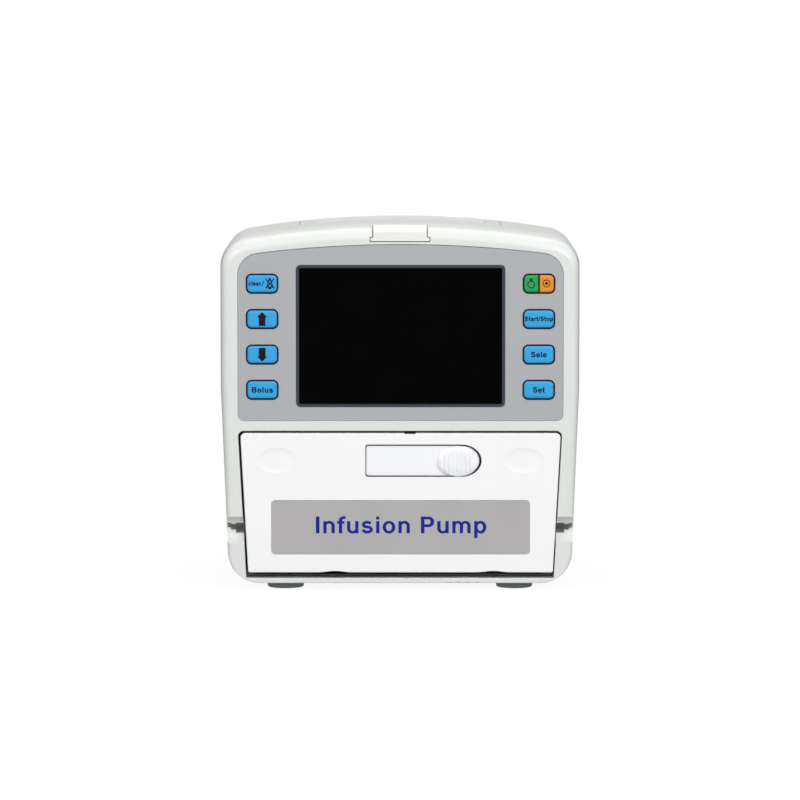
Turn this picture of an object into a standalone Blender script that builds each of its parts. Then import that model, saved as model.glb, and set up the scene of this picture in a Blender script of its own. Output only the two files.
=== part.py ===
"""Single-channel infusion pump: two-shell housing, membrane keypad and display,
bottom-hinged pump door with slide latch, linear peristaltic finger drive,
fold-down carry handle and a rear pole clamp.

Frame: +Z up, X to the right seen from the front, the front faces -Y.
Z = 0 is the plane of the feet, X = 0 the middle of the housing.
Dimensions are in millimetres and are turned into metres by MM.
Depths are counted backwards from the housing's front face and shifted by
FRONT_Y, so that the origin is the middle of the whole object's footprint.
"""

import math

import bmesh
import bpy
from mathutils import Matrix, Vector

MM = 0.001

# ---- shared dimensions (mm) -------------------------------------------------
FRONT_Y = -73.5         # world Y of the housing's front face
HALF_WIDTH = 100.0      # housing, above the taper
FOOT_HALF_WIDTH = 95.6  # housing sides, where they would meet the bottom
TOP_Z = 204.0           # crown of the top face
BOTTOM_Z = 4.4
TAPER_Z = 112.0         # below this height the sides draw in
TAPER_R = 150.0         # blends the taper into the upright sides
TOP_ARC_R = 560.0       # radius of the arched top
TOP_CORNER_R = 18.0
LOW_CORNER_R = 17.0
WALL = 3.0
SPLIT_Y = 44.0          # parting line between front and rear shells
DEPTH = 110.0
FRONT_EDGE_R = 6.0
REAR_EDGE_R = 4.5
EDGE_STEPS = 3
GAP = 0.3               # clearance between neighbouring pieces

WINDOW = (-57.8, 58.4, 102.6, 181.7)    # x min, x max, z min, z max
WINDOW_HOLE_R = 2.0

OVERLAY_HALF = 90.7
OVERLAY_TOP, OVERLAY_BOTTOM = 193.2, 94.9
OVERLAY_ARC_R = 657.0
OVERLAY_TOP_R, OVERLAY_LOW_R = 14.0, 3.4

KEY_X = 77.1            # key columns, left and right of the middle
KEY_ROWS = (171.5, 151.8, 132.0, 112.3)
KEY_W, KEY_H, KEY_R = 16.6, 9.4, 2.6
KEY_GAP = 0.35
KEY_FACE = -0.5

OPEN_TOP, OPEN_BOTTOM = 89.1, 6.8       # door opening in the front shell
OPEN_HALF_TOP, OPEN_HALF_BOTTOM = 90.45, 85.95
OPEN_CORNER_R = 3.0
DOOR_TOP, DOOR_BOTTOM = 87.9, 9.7
DOOR_HALF_TOP, DOOR_HALF_BOTTOM = 89.35, 85.1
DOOR_X = 0.3            # the door sits this far right of the opening's middle
DOOR_FACE = -0.5
SKIN = 2.4              # thickness of the door's front wall
HINGE_AXIS = (5.0, 14.8)                # depth, z
HINGE_X = {"left": -36.4, "right": 52.1}
PIN_R, PIN_HOLE_R = 1.25, 1.6

LATCH_X0, LATCH_X1, LATCH_Z, LATCH_HALF = -19.3, 45.5, 72.55, 9.05
LATCH_END_RX = 11.4
LATCH_GRIP_X = 32.3

TUBE_Z = 34.5           # height of the tube path
SLOT_Z = (31.7, 37.4)
CHASSIS_Y = (15.2, 18.2)

AIR_SENSOR_HOLE = (50, 60, 28, 41)      # x min, x max, z min, z max
PRESSURE_SENSOR = (-50, TUBE_Z)         # x, z
PRESSURE_SENSOR_R = 4.0
SENSOR_GAP = 0.4
PLATEN_HOLE = (-27, 27, 25.5, 43.5)     # x min, x max, z min, z max
PLATEN_GAP = 0.4

CAM_AXIS = (36.0, TUBE_Z)               # depth, z
CAM_R, CAM_THROW, CAM_W = 4.0, 0.9, 4.6
SHAFT_R, SHAFT_HOLE_R = 2.5, 2.9
BEARING_X = {"left": -27.0, "right": 27.0}
FINGERS = 6
FINGER_PITCH, FINGER_W = 6.5, 5.2
FINGER_TIP = 14.6       # depth at the middle of the stroke
MOTOR_AXIS = (74.0, 40.0)               # depth, z
CAM_PULLEY_R, MOTOR_PULLEY_R = 9.7, 4.85
PULLEY_X = (34.5, 40.5)
MOTOR_BOSS_R = 11

REAR_SCREWS = ((-80, 178), (80, 178), (-84, 64), (84, 64))  # x, z
BATTERY_OPENING = (-84, -14, 13, 51)    # x min, x max, z min, z max
INLET = (48, 76, 18, 38)
PORT = (15, 35, 22, 34)
SPEAKER = (-60, 142)                    # x, z

FOOT_X, FOOT_R = 64.2, 10.2
FOOT_Y = {"front": 15.5, "rear": 92.0}

HANDLE_HALF = 57.0
HANDLE_Y = (54.0, 102.0)
HANDLE_GRIP = 12.0      # front to back size of the cross bar
HANDLE_PIVOT = (97.0, 197.6)            # depth, z
HANDLE_RECESS_HALF, HANDLE_RECESS_Y, HANDLE_RECESS_Z = 59.2, 51.2, 186.2

CLAMP_Z = (66.0, 106.0)
CLAMP_AXIS = (132.0, 86.0)              # depth, z
KNOB_X = (60.0, 78.0)

SMOOTH_ANGLE = 30.0     # degrees; sharper edges stay sharp

FINISHES = {
    # name: (base colour, roughness, metallic)
    "housing": ((0.74, 0.76, 0.73), 0.38, 0.0),
    "door": ((0.90, 0.90, 0.91), 0.34, 0.0),
    "overlay": ((0.43, 0.44, 0.46), 0.48, 0.0),
    "glass": ((0.004, 0.004, 0.005), 0.08, 0.0),
    "key_blue": ((0.04, 0.35, 0.72), 0.42, 0.0),
    "key_green": ((0.015, 0.33, 0.085), 0.42, 0.0),
    "key_orange": ((0.72, 0.26, 0.02), 0.42, 0.0),
    "lens": ((0.82, 0.83, 0.80), 0.25, 0.0),
    "label": ((0.43, 0.41, 0.41), 0.5, 0.0),
    "rubber": ((0.13, 0.15, 0.14), 0.8, 0.0),
    "dark_plastic": ((0.06, 0.065, 0.06), 0.55, 0.0),
    "black_plastic": ((0.015, 0.015, 0.016), 0.5, 0.0),
    "aluminium": ((0.62, 0.63, 0.64), 0.38, 0.9),
    "steel": ((0.55, 0.56, 0.57), 0.28, 1.0),
    "board": ((0.02, 0.16, 0.07), 0.5, 0.0),
    "acetal": ((0.85, 0.84, 0.80), 0.4, 0.0),
    "battery": ((0.03, 0.09, 0.30), 0.4, 0.0),
}

# ---- scene ------------------------------------------------------------------
for old in list(bpy.data.objects):
    bpy.data.objects.remove(old, do_unlink=True)

parts = bpy.data.collections.new("infusion_pump")
workshop = bpy.data.collections.new("cutters")     # unfinished pieces and tools
for group in (parts, workshop):
    bpy.context.scene.collection.children.link(group)


# ---- spans and outlines -----------------------------------------------------
def about(middle, half):
    return middle - half, middle + half


def side_span(side, near, far):
    """Ordered X span between two distances from the middle; side is -1 or 1."""
    return sorted((side * near, side * far))


def grown(bounds, amount):
    low_u, high_u, low_v, high_v = bounds
    return low_u - amount, high_u + amount, low_v - amount, high_v + amount


def rounded(corners, steps=5):
    """Outline through (u, v, radius) corners, each corner turned into an arc."""
    outline = []
    total = len(corners)
    for i in range(total):
        before, corner, after = (Vector(corners[(i + k) % total][:2]) for k in (-1, 0, 1))
        radius = corners[i][2]
        backward, forward = (before - corner).normalized(), (after - corner).normalized()
        turn = math.pi - backward.angle(forward)
        if radius <= 0 or turn < 1e-4:
            outline.append((corner.x, corner.y))
            continue
        reach = radius * math.tan(turn / 2)
        centre = corner + (backward + forward).normalized() * (radius / math.cos(turn / 2))
        start = corner + backward * reach - centre
        end = corner + forward * reach - centre
        sweep = start.angle(end) * (1 if start.x * end.y - start.y * end.x > 0 else -1)
        count = max(1, round(steps * turn / (math.pi / 2)))
        for k in range(count + 1):
            angle = sweep * k / count
            outline.append((centre.x + start.x * math.cos(angle) - start.y * math.sin(angle),
                            centre.y + start.x * math.sin(angle) + start.y * math.cos(angle)))
    return outline


def rectangle(bounds, radius=0.0, steps=3):
    """Rounded rectangle; bounds are (u min, u max, v min, v max)."""
    low_u, high_u, low_v, high_v = bounds
    corners = ((low_u, low_v), (high_u, low_v), (high_u, high_v), (low_u, high_v))
    return rounded([(*corner, radius) for corner in corners], steps)


def ellipse(centre, radius_u, radius_v, count):
    angles = [2 * math.pi * k / count for k in range(count)]
    return [(centre[0] + radius_u * math.cos(angle), centre[1] + radius_v * math.sin(angle))
            for angle in angles]


def symmetric(*stations):
    """Stations falling towards zero, then zero and the same ones on the other side."""
    return (*stations, 0, *(-x for x in reversed(stations)))


def mirrored(right, top=()):
    """Corners of the right side, bottom to top, the top's points, then the left side."""
    return [*right, *top, *((-x, z, radius) for x, z, radius in reversed(right))]


def crown(x, top, radius):
    """Height of an arched top at x."""
    return top - x * x / (2 * radius)


def casing_outline(inset):
    half, top, radius = HALF_WIDTH - inset, TOP_Z - inset, TOP_ARC_R - inset
    right = [(FOOT_HALF_WIDTH - inset, BOTTOM_Z + inset, LOW_CORNER_R - inset),
             (half, TAPER_Z, TAPER_R),
             (half, crown(half, top, radius), TOP_CORNER_R - inset)]
    arc = [(x, crown(x, top, radius), 0.0) for x in symmetric(66, 50, 34, 17)]
    return rounded(mirrored(right, arc), 7)


def overlay_outline(grow=0.0):
    half, top = OVERLAY_HALF + grow, OVERLAY_TOP + grow
    right = [(half, OVERLAY_BOTTOM - grow, OVERLAY_LOW_R),
             (half, crown(half, top, OVERLAY_ARC_R), OVERLAY_TOP_R + grow)]
    arc = [(x, crown(x, top, OVERLAY_ARC_R), 0.0) for x in symmetric(60, 30)]
    return rounded(mirrored(right, arc), 6)


def window_outline():
    return rectangle(grown(WINDOW, GAP), WINDOW_HOLE_R)


def key_outline(x, z, grow=0.0):
    bounds = (*about(x, KEY_W / 2 + grow), *about(z, KEY_H / 2 + grow))
    return rectangle(bounds, KEY_R + grow)


def key_hole_outlines():
    return [key_outline(side * KEY_X, z, KEY_GAP) for side in (-1, 1) for z in KEY_ROWS]


def opening_outline(grow=0.0):
    right = [(OPEN_HALF_BOTTOM + grow, OPEN_BOTTOM - grow, 0.0),
             (OPEN_HALF_TOP + grow, OPEN_TOP + grow, OPEN_CORNER_R + grow)]
    return rounded(mirrored(right), 4)


def door_half(z):
    height = (z - DOOR_BOTTOM) / (DOOR_TOP - DOOR_BOTTOM)
    return DOOR_HALF_BOTTOM + (DOOR_HALF_TOP - DOOR_HALF_BOTTOM) * height


def door_outline(inset=0.0, bottom=DOOR_BOTTOM):
    """Trapezium with rounded corners."""
    top, low = DOOR_TOP - inset, bottom + inset
    top_radius, low_radius = max(0.6, 2.4 - inset), 1.0
    return rounded([(DOOR_X + door_half(low) - inset, low, low_radius),
                    (DOOR_X + door_half(top) - inset, top, top_radius),
                    (DOOR_X - door_half(top) + inset, top, top_radius),
                    (DOOR_X - door_half(low) + inset, low, low_radius)], 3)


def latch_outline(left, right, half, end_radius):
    """Square left end, half-ellipse right end."""
    angles = [math.radians(degrees) for degrees in range(-90, 91, 15)]
    end = [(right - end_radius + end_radius * math.cos(angle), LATCH_Z + half * math.sin(angle))
           for angle in angles]
    return [(left, LATCH_Z + half), (left, LATCH_Z - half), *end]


# ---- solids -----------------------------------------------------------------
def world(x, depth, z):
    return Vector((x, depth + FRONT_Y, z)) * MM


def as_object(data):
    obj = bpy.data.objects.new("piece", data)
    workshop.objects.link(obj)
    return obj


def bmesh_object(bm):
    mesh = bpy.data.meshes.new("piece")
    bm.to_mesh(mesh)
    bm.free()
    return as_object(mesh)


def evaluated_mesh(obj):
    bpy.context.view_layer.update()
    graph = bpy.context.evaluated_depsgraph_get()
    return bpy.data.meshes.new_from_object(obj.evaluated_get(graph))


# Rotation that stands a flat outline across each axis
TURN = {"X": (math.pi / 2, 0, math.pi / 2), "Y": (math.pi / 2, 0, 0), "Z": (0, 0, 0)}


def prism(outline, axis, span, holes=()):
    """Flat outline pushed along an axis. Along Y the outline is (x, z) and the span
    is in depth; along X it is (depth, z); along Z (x, depth)."""
    start, end = span
    curve = bpy.data.curves.new("outline", "CURVE")
    curve.dimensions = "2D"
    curve.fill_mode = "BOTH"
    curve.extrude = (end - start) / 2 * MM
    for loop in (outline, *holes):
        spline = curve.splines.new("POLY")
        spline.points.add(len(loop) - 1)
        for point, (u, v) in zip(spline.points, loop):
            point.co = (u * MM, v * MM, 0.0, 1.0)
        spline.use_cyclic_u = True
    flat = as_object(curve)
    flat.rotation_euler = TURN[axis]
    middle = (start + end) / 2 * MM
    flat.location = {"X": (middle, FRONT_Y * MM, 0),
                     "Y": (0, FRONT_Y * MM + middle, 0),
                     "Z": (0, FRONT_Y * MM, middle)}[axis]
    mesh = evaluated_mesh(flat)
    mesh.transform(flat.matrix_world)
    bpy.data.objects.remove(flat, do_unlink=True)
    # The curve's caps and sides come apart, so they are welded here.
    bm = bmesh.new()
    bm.from_mesh(mesh)
    bmesh.ops.remove_doubles(bm, verts=bm.verts, dist=1e-6)
    bmesh.ops.recalc_face_normals(bm, faces=bm.faces)
    return bmesh_object(bm)


def box(x_span, y_span, z_span):
    """Block between two X values, two depths and two heights."""
    spans = (x_span, y_span, z_span)
    centre = world(*((low + high) / 2 for low, high in spans))
    size = Matrix.Diagonal((*((high - low) * MM for low, high in spans), 1))
    bm = bmesh.new()
    bmesh.ops.create_cube(bm, size=1.0, matrix=Matrix.Translation(centre) @ size)
    return bmesh_object(bm)


def cylinder(radius, axis, span, centre, count=24, end_radius=None):
    """Round bar along an axis; centre is in the plane of prism's outline for that
    axis. end_radius tapers it."""
    u, v = centre
    start, end = span
    middle = (start + end) / 2
    turn = {"X": Matrix.Rotation(math.pi / 2, 4, "Y"),
            "Y": Matrix.Rotation(-math.pi / 2, 4, "X"), "Z": Matrix.Identity(4)}[axis]
    place = {"X": (middle, u, v), "Y": (u, middle, v), "Z": (u, v, middle)}[axis]
    bm = bmesh.new()
    bmesh.ops.create_cone(
        bm, cap_ends=True, cap_tris=False, segments=count, radius1=radius * MM,
        radius2=(radius if end_radius is None else end_radius) * MM,
        depth=(end - start) * MM, matrix=Matrix.Translation(world(*place)) @ turn)
    return bmesh_object(bm)


def ellipsoid(centre, radii):
    bm = bmesh.new()
    bmesh.ops.create_uvsphere(
        bm, u_segments=20, v_segments=10, radius=1.0,
        matrix=Matrix.Translation(world(*centre))
        @ Matrix.Diagonal((*(radius * MM for radius in radii), 1)))
    return bmesh_object(bm)


def shell_blank(edge_y, flat_y, radius):
    """Solid lofted through the casing outline: rounded over at edge_y by a radius
    that fades towards the bottom, straight to flat_y."""
    outline = [Vector(point) for point in casing_outline(0)]
    total = len(outline)
    inward = 1 if flat_y > edge_y else -1
    rings = []
    for k in range(EDGE_STEPS + 1):
        turn = math.pi / 2 * k / EDGE_STEPS
        ring = []
        for i, point in enumerate(outline):
            ahead, behind = outline[(i + 1) % total] - point, point - outline[i - 1]
            along = ahead.normalized() + behind.normalized()
            normal = Vector((along.y, -along.x)).normalized()
            faded = radius * max(0.12, min(1.0, (point.y - 5.5) / 22))
            moved = point - normal * faded * (1 - math.sin(turn))
            ring.append((moved.x, edge_y + inward * faded * (1 - math.cos(turn)), moved.y))
        rings.append(ring)
    rings.append([(point.x, flat_y, point.y) for point in outline])
    bm = bmesh.new()
    loops = [[bm.verts.new(world(*place)) for place in ring] for ring in rings]
    for near, far in zip(loops, loops[1:]):
        for i in range(total):
            following = (i + 1) % total
            bm.faces.new((near[i], near[following], far[following], far[i]))
    bm.faces.new(loops[0])
    bm.faces.new(loops[-1])
    bmesh.ops.recalc_face_normals(bm, faces=bm.faces)
    return bmesh_object(bm)


# ---- working on solids ------------------------------------------------------
def apply_modifiers(obj):
    mesh = evaluated_mesh(obj)
    obj.modifiers.clear()
    obj.data = mesh


def combine(obj, tools, operation):
    for tool in tools:
        step = obj.modifiers.new("Boolean", "BOOLEAN")
        step.operation = operation
        step.solver = "EXACT"
        step.object = tool
        apply_modifiers(obj)
        bpy.data.objects.remove(tool, do_unlink=True)


def cut(obj, *tools):
    combine(obj, tools, "DIFFERENCE")


def add(obj, *tools):
    combine(obj, tools, "UNION")


def soften(obj, width, steps, picks):
    """Bevel on the sharp edges for which picks(midpoint, direction) holds.
    Coplanar faces are merged first, so that each flat end is one face."""
    bm = bmesh.new()
    bm.from_mesh(obj.data)
    bmesh.ops.dissolve_limit(bm, angle_limit=math.radians(0.3), verts=bm.verts, edges=bm.edges)
    layer = bm.edges.layers.float.new("bevel_weight_edge")
    for edge in bm.edges:
        if len(edge.link_faces) == 2 and edge.calc_face_angle() > 0.2:
            start, end = (vert.co / MM - Vector((0, FRONT_Y, 0)) for vert in edge.verts)
            edge[layer] = float(picks((start + end) / 2, (end - start).normalized()))
    bm.to_mesh(obj.data)
    bm.free()
    step = obj.modifiers.new("Bevel", "BEVEL")
    step.width = width * MM
    step.segments = steps
    step.limit_method = "WEIGHT"
    step.use_clamp_overlap = False
    apply_modifiers(obj)


def at_depth(depth):
    return lambda middle, direction: abs(middle.y - depth) < 1e-3 and abs(direction.y) < 0.5


def make_material(name, finish_name):
    colour, roughness, metallic = FINISHES[finish_name]
    made = bpy.data.materials.new(name)
    made.use_nodes = True
    shader = made.node_tree.nodes["Principled BSDF"]
    shader.inputs["Base Color"].default_value = (*colour, 1.0)
    shader.inputs["Roughness"].default_value = roughness
    shader.inputs["Metallic"].default_value = metallic
    return made


def finish(obj, name, finish_name):
    """Makes the object a named, shaded part of the assembly."""
    workshop.objects.unlink(obj)
    parts.objects.link(obj)
    obj.name = obj.data.name = name
    obj.data.materials.clear()
    obj.data.materials.append(make_material(name, finish_name))
    obj.data.shade_smooth()
    obj.data.set_sharp_from_angle(angle=math.radians(SMOOTH_ANGLE))
    return obj


def pivot(name, place, members, parent=None):
    """Empty on a joint's axis that carries the pieces of one moving body."""
    empty = bpy.data.objects.new(name, None)
    empty.empty_display_size = 0.01
    parts.objects.link(empty)
    where = world(*place)
    if parent:
        empty.parent = parent
        empty.location = where - parent.matrix_world.translation
    else:
        empty.location = where
    bpy.context.view_layer.update()
    for obj in members:
        obj.data.transform(Matrix.Translation(-where))
        obj.parent = empty
    return empty


# ---- front shell ------------------------------------------------------------
LAMP_NOTCH = [  # x, z
    (-16.9, 194.8), (16.9, 194.8), (16.9, 197.8), (15.5, 197.9),
    (15.5, 206), (-15.5, 206), (-15.5, 197.9), (-16.9, 197.8)]
SLOT_NECK = [   # distance from the middle, z: narrower between 91.4 and 94
    (80, SLOT_Z[0]), (91.4, SLOT_Z[0]), (91.4, 32.6), (94.0, 32.6),
    (94.0, SLOT_Z[0]), (101, SLOT_Z[0]), (101, SLOT_Z[1]), (94.0, SLOT_Z[1]),
    (94.0, 36.5), (91.4, 36.5), (91.4, SLOT_Z[1]), (80, SLOT_Z[1])]
SLOT_CHAMFER = [(-1, 41.9), (-1, 36.9), (5.6, 36.9)]    # depth, z


def front_cavity():
    """Inside of the front shell, leaving material round the door opening and slots."""
    cavity = prism(casing_outline(WALL), "Y", (WALL, SPLIT_Y + 1))
    cut(cavity, prism(opening_outline(2.2), "Y", (WALL - 0.5, 14.7)))
    for side in (-1, 1):
        cut(cavity, box(side_span(side, 84.0, 99.0), (WALL - 0.7, 14.6), (20, 47)))
    return cavity


def cut_tube_slot(front, side):
    """Straight channel, a retaining neck near the front, a chamfer above and a
    scooped lead-in below."""
    span = side_span(side, 80, 101)
    neck = [(side * x, z) for x, z in SLOT_NECK]
    cut(front,
        box(span, (8, 15), SLOT_Z),
        prism(neck, "Y", (-1, 8.5)),
        prism(SLOT_CHAMFER, "X", span),
        prism(ellipse((-1.0, 33.2), 7.4, 7.9, 28), "X", span))


def build_front_casing():
    front = shell_blank(0, SPLIT_Y, FRONT_EDGE_R)
    cut(front,
        front_cavity(),
        prism(opening_outline(), "Y", (-1, 16)),
        prism(overlay_outline(GAP), "Y", (-1, 1.2)),
        prism(window_outline(), "Y", (-1, 2.0)),
        box((-55, 55), (1, 4), (105.5, 178.8)))
    for outline in key_hole_outlines():
        cut(front, prism(outline, "Y", (-1, 4)))
    cut(front, prism(LAMP_NOTCH, "Y", (-1, 8.3)))
    for side in (-1, 1):
        cut_tube_slot(front, side)
    finish(front, "front_casing", "housing")


# ---- rear shell -------------------------------------------------------------
REAR_CUT = (100, 112)   # depths of a cut through the rear wall


def build_rear_casing():
    cavity = prism(casing_outline(WALL), "Y", (SPLIT_Y - 1, DEPTH - WALL))
    # Leave a tub round the handle recess and a boss round each screw.
    tub_half = HANDLE_RECESS_HALF + WALL
    cut(cavity, box((-tub_half, tub_half), (HANDLE_RECESS_Y - WALL, 108),
                    (HANDLE_RECESS_Z - WALL, 206)))
    for place in REAR_SCREWS:
        cut(cavity, cylinder(5.5, "Y", (98, 108), place, 20))

    rear = shell_blank(DEPTH, SPLIT_Y + GAP, REAR_EDGE_R)
    cut(rear,
        cavity,
        box((-HANDLE_RECESS_HALF, HANDLE_RECESS_HALF), (HANDLE_RECESS_Y, 104.2),
            (HANDLE_RECESS_Z, 210)),
        cylinder(2.35, "X", (-61.3, 61.3), HANDLE_PIVOT, 16))
    for place in REAR_SCREWS:
        cut(rear,
            cylinder(3.4, "Y", (106.8, 112), place, 16),    # counterbore
            cylinder(1.9, "Y", (96, 108), place, 10))
    cut(rear,
        prism(rectangle(BATTERY_OPENING, 2), "Y", REAR_CUT),
        prism(rectangle(grown(INLET, GAP)), "Y", REAR_CUT),
        prism(rectangle(grown(PORT, GAP)), "Y", REAR_CUT))
    for k in range(5):      # grille behind the speaker
        slit = (-72, -48, 133.2 + 4 * k, 135.0 + 4 * k)
        cut(rear, prism(rectangle(slit, 0.85, 2), "Y", REAR_CUT))
    finish(rear, "rear_casing", "housing")


# ---- control panel ----------------------------------------------------------
LAMP_FACE = -0.35
LAMP_LENS = [   # x, z
    (-16.6, 195.1), (16.6, 195.1), (16.6, 197.5), (15.2, 197.6),
    (15.2, 204.6), (-15.2, 204.6), (-15.2, 197.6), (-16.6, 197.5)]
# side, row heights and names of the single keys, top to bottom
KEY_COLUMNS = (
    (-1, KEY_ROWS, ("clear_mute", "up", "down", "bolus")),
    (1, KEY_ROWS[1:], ("start_stop", "select", "set")),
)
POWER_SPLIT = 0.25      # half the gap between the two power keys
POWER_SPLIT_R = 0.3


def build_panel():
    holes = [window_outline(), *key_hole_outlines()]
    overlay = prism(overlay_outline(), "Y", (0.0, 0.9), holes)
    finish(overlay, "keypad_overlay", "overlay")
    finish(prism(rectangle(WINDOW, 1.8), "Y", (0.0, 1.7)), "display_window", "glass")
    finish(box((-54, 54), (3.4, 10.0), (106, 178.3)), "lcd_module", "black_plastic")
    board = prism(rectangle((-90, 90, 98, 182), 3), "Y", (5.5, 7.1),
                  [rectangle((-56, 56, 104, 180.5), 1)])
    finish(board, "key_board", "board")


def build_alarm_lamp():
    lamp = prism(LAMP_LENS, "Y", (LAMP_FACE, 8.0))
    # round the top front edge only
    soften(lamp, 4.0, 3, lambda middle, _: abs(middle.y - LAMP_FACE) < 1e-3 and middle.z > 204)
    finish(lamp, "alarm_lamp_lens", "lens")


def build_key(name, outline, finish_name):
    pad = prism(outline, "Y", (KEY_FACE, 4.2))
    soften(pad, 0.5, 2, at_depth(KEY_FACE))
    return finish(pad, name, finish_name)


def build_keys():
    keys = []
    for side, rows, names in KEY_COLUMNS:
        for z, name in zip(rows, names):
            keys.append(build_key("key_" + name, key_outline(side * KEY_X, z), "key_blue"))
    # The top right key is split into two halves.
    left, right = about(KEY_X, KEY_W / 2)
    low, high = about(KEY_ROWS[0], KEY_H / 2)
    split_left, split_right = about(KEY_X, POWER_SPLIT)
    power_on = [(left, low, KEY_R), (split_left, low, POWER_SPLIT_R),
                (split_left, high, POWER_SPLIT_R), (left, high, KEY_R)]
    power_off = [(split_right, low, POWER_SPLIT_R), (right, low, KEY_R),
                 (right, high, KEY_R), (split_right, high, POWER_SPLIT_R)]
    keys.append(build_key("key_power_on", rounded(power_on, 3), "key_green"))
    keys.append(build_key("key_power_off", rounded(power_off, 3), "key_orange"))
    return keys


# ---- electronics ------------------------------------------------------------
INLET_SOCKET = [    # x, z, corner radius
    (51, 21, 1.2), (73, 21, 1.2), (73, 31, 1.2), (69, 35, 0.8), (55, 35, 0.8), (51, 31, 1.2)]
INLET_PINS = ((55.0, 24.5), (61.0, 28.5), (67.0, 24.5))     # left edge, lower edge
PIN_W, PIN_H = 2.0, 4.0
PORT_SOCKET = [     # x, z, corner radius
    (17.5, 24.2, 1.2), (32.5, 24.2, 1.2), (33.3, 31.8, 1.2), (16.7, 31.8, 1.2)]


def build_main_board():
    board = box((-75, 75), (52, 53.6), (94, 174))
    add(board,
        box((-20, 4), (53.4, 56), (120, 144)),              # chips
        box((24, 44), (53.4, 57), (128, 140)),
        cylinder(6, "Y", (53.4, 66), (-50, 112), 16))       # capacitor
    finish(board, "main_board", "board")


def build_battery():
    pack = prism(rectangle(grown(BATTERY_OPENING, -2), 4), "Y", (64, 106))
    finish(pack, "battery_pack", "battery")
    cover = prism(rectangle(grown(BATTERY_OPENING, -GAP), 1.8), "Y", (DEPTH - WALL, DEPTH))
    finger_notch = rectangle((-56, -42, 44, 48), 1.9)
    cut(cover, prism(finger_notch, "Y", (108.8, 111)))
    finish(cover, "battery_cover", "housing")


def build_speaker():
    speaker = cylinder(15, "Y", (99, 106.6), SPEAKER)
    add(speaker, cylinder(8, "Y", (93, 99.5), SPEAKER, 20))     # magnet
    finish(speaker, "speaker", "black_plastic")


def build_connectors():
    inlet = box(INLET[:2], (88, 110.6), INLET[2:])
    socket = prism(rounded(INLET_SOCKET, 2), "Y", (96, 112))
    for x, z in INLET_PINS:
        cut(socket, box((x, x + PIN_W), (95, 108), (z, z + PIN_H)))
    cut(inlet, socket)
    finish(inlet, "mains_inlet", "black_plastic")
    port = box(PORT[:2], (98, 110.4), PORT[2:])
    cut(port, prism(rounded(PORT_SOCKET, 3), "Y", (105, 112)))
    finish(port, "data_port", "black_plastic")


# ---- pump head --------------------------------------------------------------
CHASSIS_OUTLINE = [     # x, z
    (-91.9, 22), (-89.5, 15), (-84.5, 10), (84.5, 10), (89.5, 15),
    (91.9, 22), (93.3, 42), (91, 90.6), (-91, 90.6), (-93.3, 42)]
LUG_R = 2.8
FINGER_OUTLINE = [      # depth behind the tip, z
    (0.0, 32.0), (1.0, 30.6), (13.4, 30.6), (13.4, 27.3), (29.8, 27.3),
    (29.8, 41.7), (13.4, 41.7), (13.4, 38.4), (1.0, 38.4), (0.0, 37.0)]
FINGER_WINDOW_BACK = (15.4, 27.4)       # depth behind the tip
FINGER_WINDOW_HALF = 5.1
MOTOR_HALF = 17.5
BELT_STEPS = 12


def build_hinge_lug(x):
    lug = box(about(x, 4), (HINGE_AXIS[0], CHASSIS_Y[0] + 0.5), about(HINGE_AXIS[1], LUG_R))
    add(lug, cylinder(LUG_R, "X", about(x, 4), HINGE_AXIS, 20))
    cut(lug, cylinder(PIN_HOLE_R, "X", about(x, 5), HINGE_AXIS, 16))
    return lug


def build_chassis():
    sensor_hole_r = PRESSURE_SENSOR_R + SENSOR_GAP
    chassis = prism(CHASSIS_OUTLINE, "Y", CHASSIS_Y, [
        rectangle((-20.6, 20.6, 29.6, 39.4)),           # fingers
        rectangle((-8, 16.9, 69.4, 78.6)),              # latch hook
        rectangle(AIR_SENSOR_HOLE),
        ellipse(PRESSURE_SENSOR, sensor_hole_r, sensor_hole_r, 20)])
    for x in BEARING_X.values():
        add(chassis, box(about(x, 2.5), (18, 44), (26, 43)))
    cut(chassis, cylinder(5.4, "X", (-31, 31), CAM_AXIS, 20))
    for x in HINGE_X.values():
        add(chassis, build_hinge_lug(x))
    finish(chassis, "pump_chassis", "dark_plastic")


def build_hinge_pins():
    for side, x in HINGE_X.items():
        pin = cylinder(PIN_R, "X", about(x, 10.4), HINGE_AXIS, 16)
        finish(pin, f"hinge_pin_{side}", "steel")


def build_cam_bearings():
    for side, x in BEARING_X.items():
        ring = cylinder(5.0, "X", about(x, 2.3), CAM_AXIS, 20)
        cut(ring, cylinder(SHAFT_HOLE_R, "X", about(x, 4), CAM_AXIS, 16))
        finish(ring, f"cam_bearing_{side}", "steel")


def finger_x(k):
    return (k - (FINGERS - 1) / 2) * FINGER_PITCH


def cam_phase(k):
    return 2 * math.pi * k / FINGERS


def build_camshaft():
    shaft = cylinder(SHAFT_R, "X", (-31, 43), CAM_AXIS, 12)
    for k in range(FINGERS):
        centre = (CAM_AXIS[0] - CAM_THROW * math.cos(cam_phase(k)),
                  CAM_AXIS[1] + CAM_THROW * math.sin(cam_phase(k)))
        add(shaft, cylinder(CAM_R, "X", about(finger_x(k), CAM_W / 2), centre, 16))
    return finish(shaft, "camshaft", "steel")


def build_cam_pulley():
    pulley = cylinder(CAM_PULLEY_R, "X", PULLEY_X, CAM_AXIS)
    add(pulley, cylinder(5.5, "X", (32, 42), CAM_AXIS, 16))     # hub
    cut(pulley, cylinder(SHAFT_HOLE_R, "X", (30, 44), CAM_AXIS, 12))
    return finish(pulley, "cam_pulley", "aluminium")


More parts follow.
